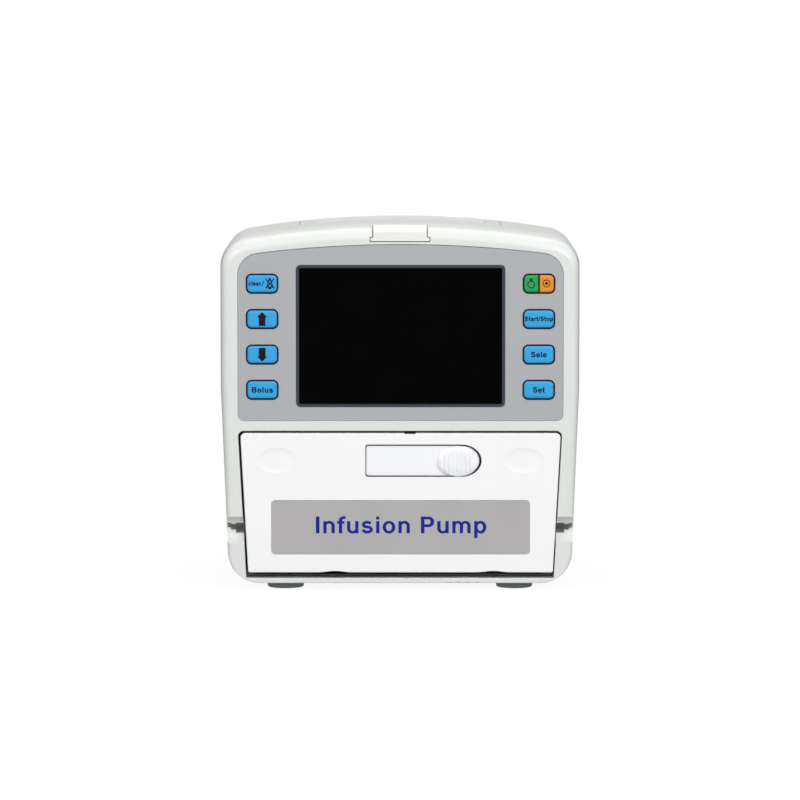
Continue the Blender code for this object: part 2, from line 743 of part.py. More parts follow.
def build_finger(k):
    """Flat follower with a window round its cam, resting where the cam holds it."""
    tip = FINGER_TIP - CAM_THROW * math.cos(cam_phase(k))
    outline = [(tip + back, z) for back, z in FINGER_OUTLINE]
    window = rectangle((*(tip + back for back in FINGER_WINDOW_BACK),
                        *about(TUBE_Z, FINGER_WINDOW_HALF)))
    finger = prism(outline, "X", about(finger_x(k), FINGER_W / 2), [window])
    return finish(finger, f"pump_finger_{k + 1}", "acetal")


def build_motor():
    depth, z = MOTOR_AXIS
    motor = box((-2, 30), about(depth, MOTOR_HALF), about(z, MOTOR_HALF))
    soften(motor, 3.0, 1, lambda _, direction: abs(direction.x) > 0.9)
    add(motor, cylinder(MOTOR_BOSS_R, "X", (29.5, 32), MOTOR_AXIS))
    cut(motor, cylinder(SHAFT_HOLE_R, "X", (18, 33), MOTOR_AXIS, 16))
    finish(motor, "drive_motor", "aluminium")


def build_motor_pulley():
    """Pulley in one piece with its shaft."""
    pulley = cylinder(SHAFT_R, "X", (19, 42), MOTOR_AXIS, 16)
    add(pulley, cylinder(MOTOR_PULLEY_R, "X", PULLEY_X, MOTOR_AXIS))
    return finish(pulley, "motor_pulley", "steel")


def belt_loop(extra):
    """Outline round both pulleys at a distance from each rim: two arcs and two tangents."""
    cam_r, motor_r = CAM_PULLEY_R + extra, MOTOR_PULLEY_R + extra
    line = Vector(MOTOR_AXIS) - Vector(CAM_AXIS)
    heading = math.atan2(line.y, line.x)
    spread = math.acos((cam_r - motor_r) / line.length)
    arcs = ((CAM_AXIS, cam_r, heading + spread, heading + 2 * math.pi - spread),
            (MOTOR_AXIS, motor_r, heading - spread, heading + spread))
    points = []
    for (depth, z), radius, start, end in arcs:
        for k in range(BELT_STEPS + 1):
            angle = start + (end - start) * k / BELT_STEPS
            points.append((depth + radius * math.cos(angle), z + radius * math.sin(angle)))
    return points


def build_belt():
    finish(prism(belt_loop(1.9), "X", (35.0, 40.0), [belt_loop(0.5)]), "drive_belt", "rubber")


def build_motor_bracket():
    bracket = box((30.3, 31.9), (18.5, 92), (22, 58))
    cut(bracket,
        cylinder(MOTOR_BOSS_R + 0.4, "X", (29, 33), MOTOR_AXIS),
        cylinder(4.2, "X", (29, 33), CAM_AXIS, 16))
    finish(bracket, "motor_bracket", "aluminium")


def build_sensors():
    left, right, low, high = grown(AIR_SENSOR_HOLE, -SENSOR_GAP)
    sensor = box((left, right), (15.5, 24), (low, high))
    for jaw_z in ((low, 32.1), (36.9, high)):
        add(sensor, box((left, right), (11.3, 16), jaw_z))
    finish(sensor, "air_sensor", "black_plastic")
    button = cylinder(PRESSURE_SENSOR_R, "Y", (15.4, 26), PRESSURE_SENSOR, 20)
    finish(button, "pressure_sensor", "steel")


# ---- door -------------------------------------------------------------------
RELIEF_ARC = [  # x from the hinge's middle, z
    (-8.4, 8.0), (8.4, 8.0), (5.2, 10.25), (2.0, 10.65), (-2.0, 10.65), (-5.2, 10.25)]
NAME_PLATE = (*about(DOOR_X, 72.0), 19.8, 50.6)     # x min, x max, z min, z max
DIMPLE_X, DIMPLE_Z = 68.8, 72.7
DIMPLE_DEPTH = -3.1     # the ellipsoid's centre, in front of the door
DIMPLE_RADII = (15.4, 3.8, 10.4)
GRIP_FACE = -3.0
SPRING_HALF, SPRING_END_Y, SPRING_MID_Y, SPRING_THICKNESS = 22, 3.8, 2.3, 0.5
SPRING_STEPS = 10


def add_hinge_knuckles(door, x):
    """Clears the chassis lug and puts a bored knuckle on each side of it."""
    cut(door, box(about(x, 4.8), (DOOR_FACE + SKIN, 9), (8, 20)))
    for side in (-1, 1):
        left, right = sorted((x + side * 4.7, x + side * 10.2))
        knuckle = box((left, right), (1.4, 7.8), (10.4, 19.0))
        cut(knuckle, cylinder(PIN_HOLE_R, "X", (left - 1, right + 1), HINGE_AXIS, 16))
        add(door, knuckle)


def build_door_shell():
    door = prism(door_outline(), "Y", (DOOR_FACE, 8.0))
    soften(door, 0.7, 2, at_depth(DOOR_FACE))
    for x in HINGE_X.values():
        # shallow relief arc in the bottom edge, under the hinge
        arc = [(x + offset, z) for offset, z in RELIEF_ARC]
        cut(door, prism(arc, "Y", (-2, 9)))
    cut(door, prism(door_outline(2.2), "Y", (DOOR_FACE + SKIN, 9)))
    for x in HINGE_X.values():
        add_hinge_knuckles(door, x)
    opening = latch_outline(LATCH_X0, LATCH_X1, LATCH_HALF, LATCH_END_RX)
    cut(door,
        prism(opening, "Y", (-2, 3)),
        box((LATCH_X0 - 14.2, LATCH_X0 + 1), (0.3, 3), about(LATCH_Z, LATCH_HALF)),
        prism(rectangle(grown(NAME_PLATE, GAP), 2.2), "Y", (-2, 0.0)))
    for side in (-1, 1):
        # shallow oval finger dimples near the top corners
        centre = (DOOR_X + side * DIMPLE_X, DIMPLE_DEPTH, DIMPLE_Z)
        cut(door, ellipsoid(centre, DIMPLE_RADII))
    return finish(door, "door_shell", "door")


def build_inner_plate():
    plate = prism(door_outline(2.6, bottom=17.4), "Y", (8.3, 10.5),
                  [rectangle(PLATEN_HOLE, 1), rectangle((-5, 13, 68.4, 76.6), 1)])
    return finish(plate, "door_inner_plate", "aluminium")


def build_name_plate():
    return finish(prism(rectangle(NAME_PLATE, 2.0), "Y", (-0.5, -0.3)), "name_plate", "label")


def build_latch_slider():
    """Sliding plate with a flange, an oval grip in front and a hook behind."""
    outline = latch_outline(LATCH_X0 - 1.0, LATCH_X1 - 0.7, LATCH_HALF - 0.4, LATCH_END_RX - 0.3)
    slider = prism(outline, "Y", (0.6, 3.0))
    add(slider, box((-17, 58), (2.5, 3.8), about(LATCH_Z, 11.2)))
    grip = prism(ellipse((LATCH_GRIP_X, LATCH_Z - 0.2), 11.6, 8.4, 28), "Y", (GRIP_FACE, 1.5))
    soften(grip, 1.8, 2, at_depth(GRIP_FACE))
    hook_z = (70, 75)
    add(slider,
        grip,
        box((8, 12), (3.5, 21.4), hook_z),
        box((11.5, 16.5), (18.9, 21.4), hook_z))
    return finish(slider, "latch_slider", "door")


def build_platen():
    platen = prism(rectangle(grown(PLATEN_HOLE, -PLATEN_GAP), 0.8, 1), "Y", (5.5, 12.4))
    return finish(platen, "pressure_platen", "aluminium")


def build_platen_spring():
    """Leaf bowed forwards in the middle."""
    front = [(-SPRING_HALF + 2 * SPRING_HALF * k / SPRING_STEPS,
              SPRING_END_Y - (SPRING_END_Y - SPRING_MID_Y) * math.sin(math.pi * k / SPRING_STEPS))
             for k in range(SPRING_STEPS + 1)]
    back = [(x, depth + SPRING_THICKNESS) for x, depth in reversed(front)]
    return finish(prism(front + back, "Z", (30, 39)), "platen_spring", "steel")


# ---- feet and rear screws ---------------------------------------------------
def build_feet():
    for end, depth in FOOT_Y.items():
        for side, x in (("left", -FOOT_X), ("right", FOOT_X)):
            foot = cylinder(FOOT_R - 1.0, "Z", (0.0, 4.1), (x, depth), 28, end_radius=FOOT_R)
            finish(foot, f"foot_{end}_{side}", "rubber")


def build_rear_screws():
    slot_y = (108.3, 110)
    for k, (x, z) in enumerate(REAR_SCREWS):
        screw = cylinder(2.9, "Y", (107.2, 109.2), (x, z), 14)
        add(screw, cylinder(1.5, "Y", (97, 107.6), (x, z), 8))
        cut(screw,
            box(about(x, 2), slot_y, about(z, 0.4)),
            box(about(x, 0.4), slot_y, about(z, 2)))
        finish(screw, f"casing_screw_{k + 1}", "steel")


# ---- carry handle -----------------------------------------------------------
def build_handle():
    """Arched U, open to the rear, with a pivot stub on each arm."""
    top = [(x, crown(x, TOP_Z + 0.9, TOP_ARC_R)) for x in symmetric(HANDLE_HALF, 44, 30, 15)]
    low = [(x, z - 9.0) for x, z in reversed(top)]
    handle = prism(top + low, "Y", HANDLE_Y)
    cut(handle, box((-49.5, 49.5), (HANDLE_Y[0] + HANDLE_GRIP, HANDLE_Y[1] + 1), (180, 220)))
    soften(handle, 1.6, 2, lambda middle, direction:
           abs(direction.x) > 0.5 and abs(middle.x) < HANDLE_HALF - 0.1)
    for side in (-1, 1):
        span = side_span(side, HANDLE_HALF - 0.5, HANDLE_HALF + 4)
        add(handle, cylinder(2.0, "X", span, HANDLE_PIVOT, 16))
    return finish(handle, "carry_handle", "housing")


# ---- pole clamp -------------------------------------------------------------
BRACKET_CORNERS = [     # x, depth, corner radius
    (-36, DEPTH + GAP, 2), (36, DEPTH + GAP, 2), (36, 116.5, 2), (34, 118.5, 1),
    (34, 150, 3), (26, 150, 3), (26, 116.3, 3), (-25, 116.3, 3), (-25, 125, 1),
    (-29.5, 132, 1), (-25, 139, 1), (-25, 150, 3), (-34, 150, 3), (-34, 118.5, 1),
    (-36, 116.5, 2)]
JAW_CORNERS = [         # x, depth, corner radius
    (23.5, 121, 1.5), (23.5, 143, 1.5), (14.5, 143, 1.5), (14.5, 138, 0.6),
    (18, 132, 0.6), (14.5, 126, 0.6), (14.5, 121, 1.5)]
KNOB_R, LOBE_HEIGHT, LOBES, KNOB_STEPS = 15.6, 1.5, 6, 48


def build_clamp_bracket():
    bracket = prism(rounded(BRACKET_CORNERS, 3), "Z", CLAMP_Z)
    cut(bracket, cylinder(5.3, "X", (24, 36), CLAMP_AXIS))
    finish(bracket, "clamp_bracket", "aluminium")


def build_clamp_jaw():
    jaw = prism(rounded(JAW_CORNERS, 2), "Z", about(CLAMP_AXIS[1], 14))
    cut(jaw, cylinder(3.5, "X", (20.2, 25), CLAMP_AXIS, 16))
    return finish(jaw, "clamp_jaw", "rubber")


def build_clamp_screw():
    screw = cylinder(4.8, "X", (24.0, 62), CLAMP_AXIS, 20)
    add(screw, cylinder(3.1, "X", (20.6, 25), CLAMP_AXIS, 16))
    return finish(screw, "clamp_screw", "steel")


def build_clamp_knob():
    outline = []
    for k in range(KNOB_STEPS):
        angle = 2 * math.pi * k / KNOB_STEPS
        radius = KNOB_R + LOBE_HEIGHT * math.cos(LOBES * angle)
        outline.append((CLAMP_AXIS[0] + radius * math.cos(angle),
                        CLAMP_AXIS[1] + radius * math.sin(angle)))
    knob = prism(outline, "X", KNOB_X)
    knob_middle, knob_half = sum(KNOB_X) / 2, (KNOB_X[1] - KNOB_X[0]) / 2
    soften(knob, 1.8, 2, lambda middle, direction:
           abs(direction.x) < 0.5 and abs(middle.x - knob_middle) > knob_half - 0.1)
    cut(knob, cylinder(5.1, "X", (58, 64), CLAMP_AXIS, 20))
    return finish(knob, "clamp_knob", "black_plastic")


# ---- bodies: an empty on each axis carries its moving pieces ------------------
def assemble_keys():
    for pad in build_keys():
        corners = [Vector(corner) / MM for corner in pad.bound_box]
        x, z = ((min(values) + max(values)) / 2 for values in
                ([corner.x for corner in corners], [corner.z for corner in corners]))
        pivot(pad.name + "_axis", (x, 0, z), [pad])


def assemble_drive():
    pivot("camshaft_axis", (0, *CAM_AXIS), [build_camshaft(), build_cam_pulley()])
    pivot("motor_axis", (35, *MOTOR_AXIS), [build_motor_pulley()])
    for k in range(FINGERS):
        pivot(f"finger_{k + 1}_axis", (finger_x(k), FINGER_TIP, TUBE_Z), [build_finger(k)])


def assemble_door():
    door_axis = pivot("door_axis", (0, *HINGE_AXIS), [
        build_door_shell(), build_inner_plate(), build_name_plate(), build_platen_spring()])
    pivot("latch_axis", (LATCH_GRIP_X, 0.6, LATCH_Z), [build_latch_slider()], door_axis)
    pivot("platen_axis", (0, 9.0, TUBE_Z), [build_platen()], door_axis)


def assemble_clamp():
    build_clamp_bracket()
    jaw_axis = pivot("jaw_axis", (19, *CLAMP_AXIS), [build_clamp_jaw()])
    pivot("screw_axis", (KNOB_X[0], *CLAMP_AXIS), [build_clamp_screw(), build_clamp_knob()],
          jaw_axis)


build_front_casing()
build_rear_casing()
build_panel()
build_alarm_lamp()
assemble_keys()
build_main_board()
build_battery()
build_speaker()
build_connectors()
build_chassis()
build_hinge_pins()
build_cam_bearings()
build_motor()
build_belt()
build_motor_bracket()
build_sensors()
assemble_drive()
assemble_door()
build_feet()
build_rear_screws()
pivot("handle_axis", (0, *HANDLE_PIVOT), [build_handle()])
assemble_clamp()
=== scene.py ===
"""Looks of an infusion pump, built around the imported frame.

Lengths are in millimetres in the frame's own axes: +Z up and X to the right seen from the
front. Depths are counted backwards (+Y) from the front face of the housing. The upper half
carries the display and keys, the lower half the door, and the pole clamp is at the back.
"""

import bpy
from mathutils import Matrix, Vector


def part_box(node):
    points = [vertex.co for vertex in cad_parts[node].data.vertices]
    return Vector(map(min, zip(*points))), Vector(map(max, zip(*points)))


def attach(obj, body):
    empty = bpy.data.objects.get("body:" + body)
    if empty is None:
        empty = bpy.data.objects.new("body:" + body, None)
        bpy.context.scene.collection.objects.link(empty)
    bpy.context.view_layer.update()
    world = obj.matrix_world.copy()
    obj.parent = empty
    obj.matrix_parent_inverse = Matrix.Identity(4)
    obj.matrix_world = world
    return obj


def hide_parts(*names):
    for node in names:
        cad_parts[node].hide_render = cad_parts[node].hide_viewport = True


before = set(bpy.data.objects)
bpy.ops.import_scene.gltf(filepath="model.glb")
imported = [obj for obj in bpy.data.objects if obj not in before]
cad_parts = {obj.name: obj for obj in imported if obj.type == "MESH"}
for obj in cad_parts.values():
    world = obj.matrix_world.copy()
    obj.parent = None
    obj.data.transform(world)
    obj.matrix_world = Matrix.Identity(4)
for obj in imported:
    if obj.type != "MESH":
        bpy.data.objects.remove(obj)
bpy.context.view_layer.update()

import math

import bmesh
import bpy
from mathutils import Matrix, Vector

MM = 0.001
FRONT_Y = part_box("front_casing")[0].y / MM


def corners(name):
    """Low and high corners of a frame node in millimetres, with Y as depth."""
    return [Vector((c.x / MM, c.y / MM - FRONT_Y, c.z / MM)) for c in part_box(name)]


# ---- driving dimensions ---------------------------------------------------------
# housing
casing_low, casing_high = corners("front_casing")
HALF_WIDTH = casing_high.x + 0.8
FOOT_HALF_WIDTH = HALF_WIDTH - 4.6
TOP_Z = casing_high.z
BOTTOM_Z = casing_low.z - 0.7
TAPER_Z = 112.0             # the sides lean inwards below this height
TOP_ARC_R = 560.0
TOP_CORNER_R, LOW_CORNER_R = 18.0, 19.0
WALL = 3.0
SPLIT_Y = casing_high.y     # parting line between the shells
DEPTH = corners("rear_casing")[1].y
FRONT_EDGE, FRONT_SIDE_EDGE, REAR_EDGE = 6.8, 4.2, 4.0
GAP = 0.3

# control panel
PANEL_X = 0.3
overlay_low, overlay_high = corners("keypad_overlay")
OVERLAY_HALF = overlay_high.x - 0.2
OVERLAY_TOP, OVERLAY_BOTTOM = overlay_high.z, overlay_low.z
OVERLAY_ARC_R = 657.0
window_low, window_high = corners("display_window")
WINDOW = (window_low.x, window_high.x, window_low.z, window_high.z)
KEY_X = 76.95
LEFT_X, RIGHT_X = PANEL_X - KEY_X, PANEL_X + KEY_X
KEY_ROWS = (171.4, 151.7, 131.9, 112.2)
KEY_SPOTS = [(x, z) for x in (LEFT_X, RIGHT_X) for z in KEY_ROWS]
KEY_W, KEY_H, KEY_R = 16.6, 9.7, 2.5

# door and its opening
OPEN_TOP, OPEN_BOTTOM = 89.1, 6.45
OPEN_HALF_TOP, OPEN_HALF_BOTTOM = 90.45, 85.95
door_low, door_high = corners("door_shell")
DOOR_TOP, DOOR_BOTTOM = door_high.z, door_low.z
DOOR_HALF_TOP, DOOR_HALF_BOTTOM = 89.35, 85.1
DOOR_X = (door_low.x + door_high.x) / 2
DOOR_FACE = door_low.y
SKIN = 2.4
HINGE_Y, HINGE_Z = 5.0, 14.8
HINGE_X = (-36.4, 52.1)
PIN_HOLE_R = 1.6
LABEL = (DOOR_X - 72.0, DOOR_X + 72.0, 20.1, 50.2)

# latch
LATCH_X0, LATCH_X1, LATCH_Z, LATCH_HALF, LATCH_END_RX = -19.3, 45.5, 72.55, 9.05, 11.4
LATCH_OPENING = (LATCH_X0, LATCH_X1, LATCH_HALF, LATCH_END_RX, 1.4)

# tube path and pump head
TUBE_Z = 34.5
SLOT_Z0, SLOT_Z1 = 31.3, 37.0
PLATE_Y = 15.2              # front face of the pump head
FINGERS = 6

# handle
handle_low, handle_high = corners("carry_handle")
HANDLE_Y0, HANDLE_GRIP, HANDLE_Y1 = handle_low.y, 12.0, handle_high.y
PIVOT_Y, PIVOT_Z = 97.0, 197.6

# back: fittings are (x0, x1, z0, z1)
CLAMP_Z0, CLAMP_Z1 = 66.0, 106.0
CLAMP_Y, CLAMP_Z = 132.0, 86.0      # axis of the clamp screw
REAR_SCREWS = ((-80, 178), (80, 178), (-84, 64), (84, 64))
BATTERY_OPENING = (-84, -14, 13, 51)
MAINS_SOCKET = (48, 76, 18, 38)
SERIAL_PORT = (15, 35, 22, 34)


# ---- objects and meshes ---------------------------------------------------------
def configure(target, **values):
    for name, value in values.items():
        setattr(target, name, value)
    return target


def as_object(data, name="piece"):
    obj = bpy.data.objects.new(name, data)
    bpy.context.scene.collection.objects.link(obj)
    return obj


def from_bmesh(bm, mesh=None, tidy=False):
    """Object from a bmesh; tidy welds coincident points and turns the faces outwards."""
    if tidy:
        bmesh.ops.remove_doubles(bm, verts=bm.verts, dist=1e-7)
        bmesh.ops.recalc_face_normals(bm, faces=bm.faces)
    mesh = mesh or bpy.data.meshes.new("piece")
    bm.to_mesh(mesh)
    bm.free()
    return as_object(mesh)


def evaluated(obj):
    bpy.context.view_layer.update()
    graph = bpy.context.evaluated_depsgraph_get()
    return bpy.data.meshes.new_from_object(obj.evaluated_get(graph))


def apply(obj):
    mesh = evaluated(obj)
    obj.modifiers.clear()
    obj.data = mesh
    return obj


# ---- outlines: lists of flat (u, v) points --------------------------------------
def rounded(points, steps=12):
    """Outline through (u, v, radius) corners, each corner turned into an arc."""
    out = []
    n = len(points)
    for i in range(n):
        before, corner, after = (Vector(points[(i + k) % n][:2]) for k in (-1, 0, 1))
        r = points[i][2]
        a, b = (before - corner).normalized(), (after - corner).normalized()
        turn = math.pi - a.angle(b)
        if r <= 0 or turn < 1e-4:
            out.append((corner.x, corner.y))
            continue
        reach = r * math.tan(turn / 2)
        start, end = corner + a * reach, corner + b * reach
        centre = corner + (a + b).normalized() * (r / math.cos(turn / 2))
        s, e = start - centre, end - centre
        sweep = s.angle(e) * (1 if s.x * e.y - s.y * e.x > 0 else -1)
        count = max(2, round(steps * turn / (math.pi / 2)))
        for k in range(count + 1):
            t = sweep * k / count
            out.append((centre.x + s.x * math.cos(t) - s.y * math.sin(t),
                        centre.y + s.x * math.sin(t) + s.y * math.cos(t)))
    return out


def inset_rect(u0, u1, v0, v1, r, floor=0.0, steps=8):
    """outline(inset) of a rounded rectangle. r is one radius or four, from the low left
    corner counterclockwise; no radius shrinks below the floor."""
    radii = r if isinstance(r, tuple) else (r,) * 4

    def outline(inset):
        a, b, c, d = (max(floor, radius - inset) for radius in radii)
        low, high = v0 + inset, v1 - inset
        left, right = u0 + inset, u1 - inset
        return rounded([(left, low, a), (right, low, b), (right, high, c), (left, high, d)], steps)
    return outline


def rectangle(u0, u1, v0, v1, r, steps=8):
    return inset_rect(u0, u1, v0, v1, r, steps=steps)(0.0)


def spread(bounds, d):
    """(x0, x1, z0, z1) made larger by d on every side."""
    return bounds[0] - d, bounds[1] + d, bounds[2] - d, bounds[3] + d


def mirrored(side, near, far):
    """Interval between two distances from the middle, on the given side (-1 or 1)."""
    return sorted((side * near, side * far))


def ellipse(u, v, ru, rv, count=64):
    turns = [math.tau * k / count for k in range(count)]
    return [(u + ru * math.cos(t), v + rv * math.sin(t)) for t in turns]


def quarter(steps):
    """(1 - cos, 1 - sin) over a quarter turn."""
    turns = [math.pi / 2 * k / steps for k in range(steps + 1)]
    return [(1 - math.cos(t), 1 - math.sin(t)) for t in turns]


def bar(x0, y0, x1, y1):
    return [(x0, y0), (x1, y0), (x1, y1), (x0, y1)]


# ---- solids ---------------------------------------------------------------------
# Across an axis an outline is (x, z) along Y, (depth, z) along X and (x, depth) along Z.
def laid(outline, a, axis="Y"):
    """Points (x, depth, z) of an outline at distance a along the axis."""
    place = {"X": lambda u, v: (a, u, v),
             "Y": lambda u, v: (u, a, v),
             "Z": lambda u, v: (u, v, a)}[axis]
    return [place(u, v) for u, v in outline]


def prism(outline, a0, a1, holes=(), axis="Y"):
    """Flat outline pushed along an axis from a0 to a1."""
    curve = bpy.data.curves.new("piece", "CURVE")
    configure(curve, dimensions="2D", fill_mode="BOTH", extrude=(a1 - a0) / 2 * MM)
    for loop in (outline, *holes):
        spline = curve.splines.new("POLY")
        spline.points.add(len(loop) - 1)
        for point, (u, v) in zip(spline.points, loop):
            point.co = (u * MM, v * MM, 0.0, 1.0)
        spline.use_cyclic_u = True
    obj = as_object(curve)
    middle, front_y = (a0 + a1) / 2 * MM, FRONT_Y * MM
    half = math.pi / 2
    obj.rotation_euler = {"X": (half, 0, half), "Y": (half, 0, 0), "Z": (0, 0, 0)}[axis]
    obj.location = {"X": (middle, front_y, 0), "Y": (0, front_y + middle, 0),
                    "Z": (0, front_y, middle)}[axis]
    mesh = evaluated(obj)
    mesh.transform(obj.matrix_world)
    bpy.data.objects.remove(obj, do_unlink=True)
    bm = bmesh.new()
    bm.from_mesh(mesh)
    return from_bmesh(bm, mesh, tidy=True)


def loft(rings):
    """Closed skin through rings of (x, depth, z) points, with the same count in each."""
    bm = bmesh.new()
    loops = [[bm.verts.new(Vector((x, y + FRONT_Y, z)) * MM) for x, y, z in ring]
             for ring in rings]
    n = len(loops[0])
    for a, b in zip(loops, loops[1:]):
        for i in range(n):
            bm.faces.new((a[i], a[(i + 1) % n], b[(i + 1) % n], b[i]))
    bm.faces.new(loops[0])
    bm.faces.new(loops[-1])
    return from_bmesh(bm, tidy=True)


def flare(outline, face, deep, r, steps=5):
    """Cutter along Y for an opening whose edge at the face is rounded over by r.
    outline(inset) is called with negative insets; the cutter starts 1 mm outside."""
    side = 1 if deep > face else -1
    rings = [laid(outline(-r), face - side * 1.0)]
    for rise, run in quarter(steps):
        rings.append(laid(outline(-r * run), face + side * r * rise))
    return loft(rings + [laid(outline(0.0), deep)])


def pillow(outline, a0, a1, r0, r1=0.0, steps=6, axis="Y"):
    """Solid whose edge is rounded by r0 at a0 and by r1 at a1. outline(inset)."""
    side = 1 if a1 > a0 else -1

    def end(a, way, r):
        arc = quarter(steps) if r > 0 else [(0.0, 0.0)]
        return [laid(outline(r * run), a + way * r * rise, axis) for rise, run in arc]
    return loft(end(a0, side, r0) + end(a1, -side, r1)[::-1])


def turned(profile, u, v, count=72, axis="Y"):
    """Solid of revolution: profile is (radius, distance along the axis)."""
    sized = [(max(r, 1e-3), a) for r, a in profile]
    return loft([laid(ellipse(u, v, r, r, count), a, axis) for r, a in sized])


def rod(r, a0, a1, u, v, count, axis="Y"):
    return turned([(r, a0), (r, a1)], u, v, count, axis)


def box(x0, x1, y0, y1, z0, z1, r=0.0):
    """Block; with r all its edges are rounded."""
    bm = bmesh.new()
    centre = Vector(((x0 + x1) / 2, (y0 + y1) / 2 + FRONT_Y, (z0 + z1) / 2)) * MM
    size = Matrix.Diagonal(((x1 - x0) * MM, (y1 - y0) * MM, (z1 - z0) * MM, 1))
    bmesh.ops.create_cube(bm, size=1.0, matrix=Matrix.Translation(centre) @ size)
    if r:
        bmesh.ops.bevel(bm, geom=list(bm.edges), offset=r * MM, segments=3, profile=0.5,
                        affect="EDGES")
    return from_bmesh(bm)


def join(obj, other, operation="UNION"):
    """Boolean of two closed meshes; EXACT steps in where MANIFOLD changes nothing."""
    def counts(mesh):
        return len(mesh.vertices), len(mesh.polygons)

    before = obj.data
    for solver in ("MANIFOLD", "EXACT"):
        step = obj.modifiers.new("Boolean", "BOOLEAN")
        configure(step, operation=operation, solver=solver, object=other)
        apply(obj)
        if len(obj.data.vertices) and counts(obj.data) != counts(before):
            break
        obj.data = before
    bpy.data.objects.remove(other, do_unlink=True)
    return obj


def cut(obj, *tools):
    for tool in tools:
        join(obj, tool, "DIFFERENCE")
    return obj


def add(obj, *others):
    for other in others:
        join(obj, other)
    return obj


def soften(obj, width, steps=3, angle=35.0):
    """Small rounding on every edge sharper than the angle."""
    bm = bmesh.new()
    bm.from_mesh(obj.data)
    bmesh.ops.remove_doubles(bm, verts=bm.verts, dist=2e-6)
    bmesh.ops.dissolve_limit(bm, angle_limit=math.radians(0.5), verts=bm.verts, edges=bm.edges)
    bm.to_mesh(obj.data)
    bm.free()
    configure(obj.modifiers.new("Bevel", "BEVEL"), width=width * MM, segments=steps,
              limit_method="ANGLE", angle_limit=math.radians(angle), use_clamp_overlap=True)
    return apply(obj)


def merge(objects):
    """One piece from several separate closed shapes."""
    bm = bmesh.new()
    for obj in objects:
        bm.from_mesh(obj.data)
        bpy.data.objects.remove(obj, do_unlink=True)
    return from_bmesh(bm)


def done(obj, name, body, finish, replaces=None, smooth=35.0, weighted=True):
    """Names the piece, gives it its finish and lets it ride on its body."""
    obj.name = obj.data.name = name
    obj.data.materials.clear()
    obj.data.materials.append(FINISHES[finish])
    obj.data.shade_smooth()
    obj.data.set_sharp_from_angle(angle=math.radians(smooth))
    if weighted:
        configure(obj.modifiers.new("WeightedNormal", "WEIGHTED_NORMAL"),
                  mode="FACE_AREA", weight=100, keep_sharp=True, thresh=0.05)
    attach(obj, body)
    if replaces:
        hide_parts(replaces)
    return obj


# ---- lettering ------------------------------------------------------------------
def arc(cx, cy, rx, ry, ix, iy, a0, a1, icx=None):
    """Part of a ring between an outer and an inner ellipse, from angle a0 to a1. The
    inner ellipse may have its own middle, icx."""
    icx = cx if icx is None else icx
    turns = [math.radians(a0 + (a1 - a0) * k / 20) for k in range(21)]
    return ([(cx + rx * math.cos(t), cy + ry * math.sin(t)) for t in turns]
            + [(icx + ix * math.cos(t), cy + iy * math.sin(t)) for t in reversed(turns)])


def full_ring(cx, cy, rx, ry, ix, iy, icx=None):
    """(outer, inner) outlines of a closed ring."""
    return ellipse(cx, cy, rx, ry, 48), ellipse(cx if icx is None else icx, cy, ix, iy, 48)


def ess(cx, rx, y0, y1, level, upright):
    """S-shaped stroke between the heights y0 and y1, with its thickness where it runs
    level and where it runs upright."""
    low, high = y0 + level / 2, y1 - level / 2
    middle = low + (high - low) * 0.52
    r_up, r_low = (high - middle) / 2, (middle - low) / 2
    line = []
    for k in range(19):
        t = math.radians(24 + 246 * k / 18)
        line.append((cx - 4 + rx * 0.96 * math.cos(t), middle + r_up + r_up * math.sin(t)))
    for k in range(1, 19):
        t = math.radians(90 - 270 * k / 18)
        line.append((cx + 4 + rx * math.cos(t), middle - r_low + r_low * math.sin(t)))
    left, right = [], []
    for i, (x, y) in enumerate(line):
        d = (Vector(line[min(len(line) - 1, i + 1)]) - Vector(line[max(0, i - 1)])).normalized()
        half = (level * abs(d.x) + upright * abs(d.y)) / (abs(d.x) + abs(d.y)) / 2
        left.append((x - d.y * half, y + d.x * half))
        right.append((x + d.y * half, y - d.x * half))
    return left + right[::-1]


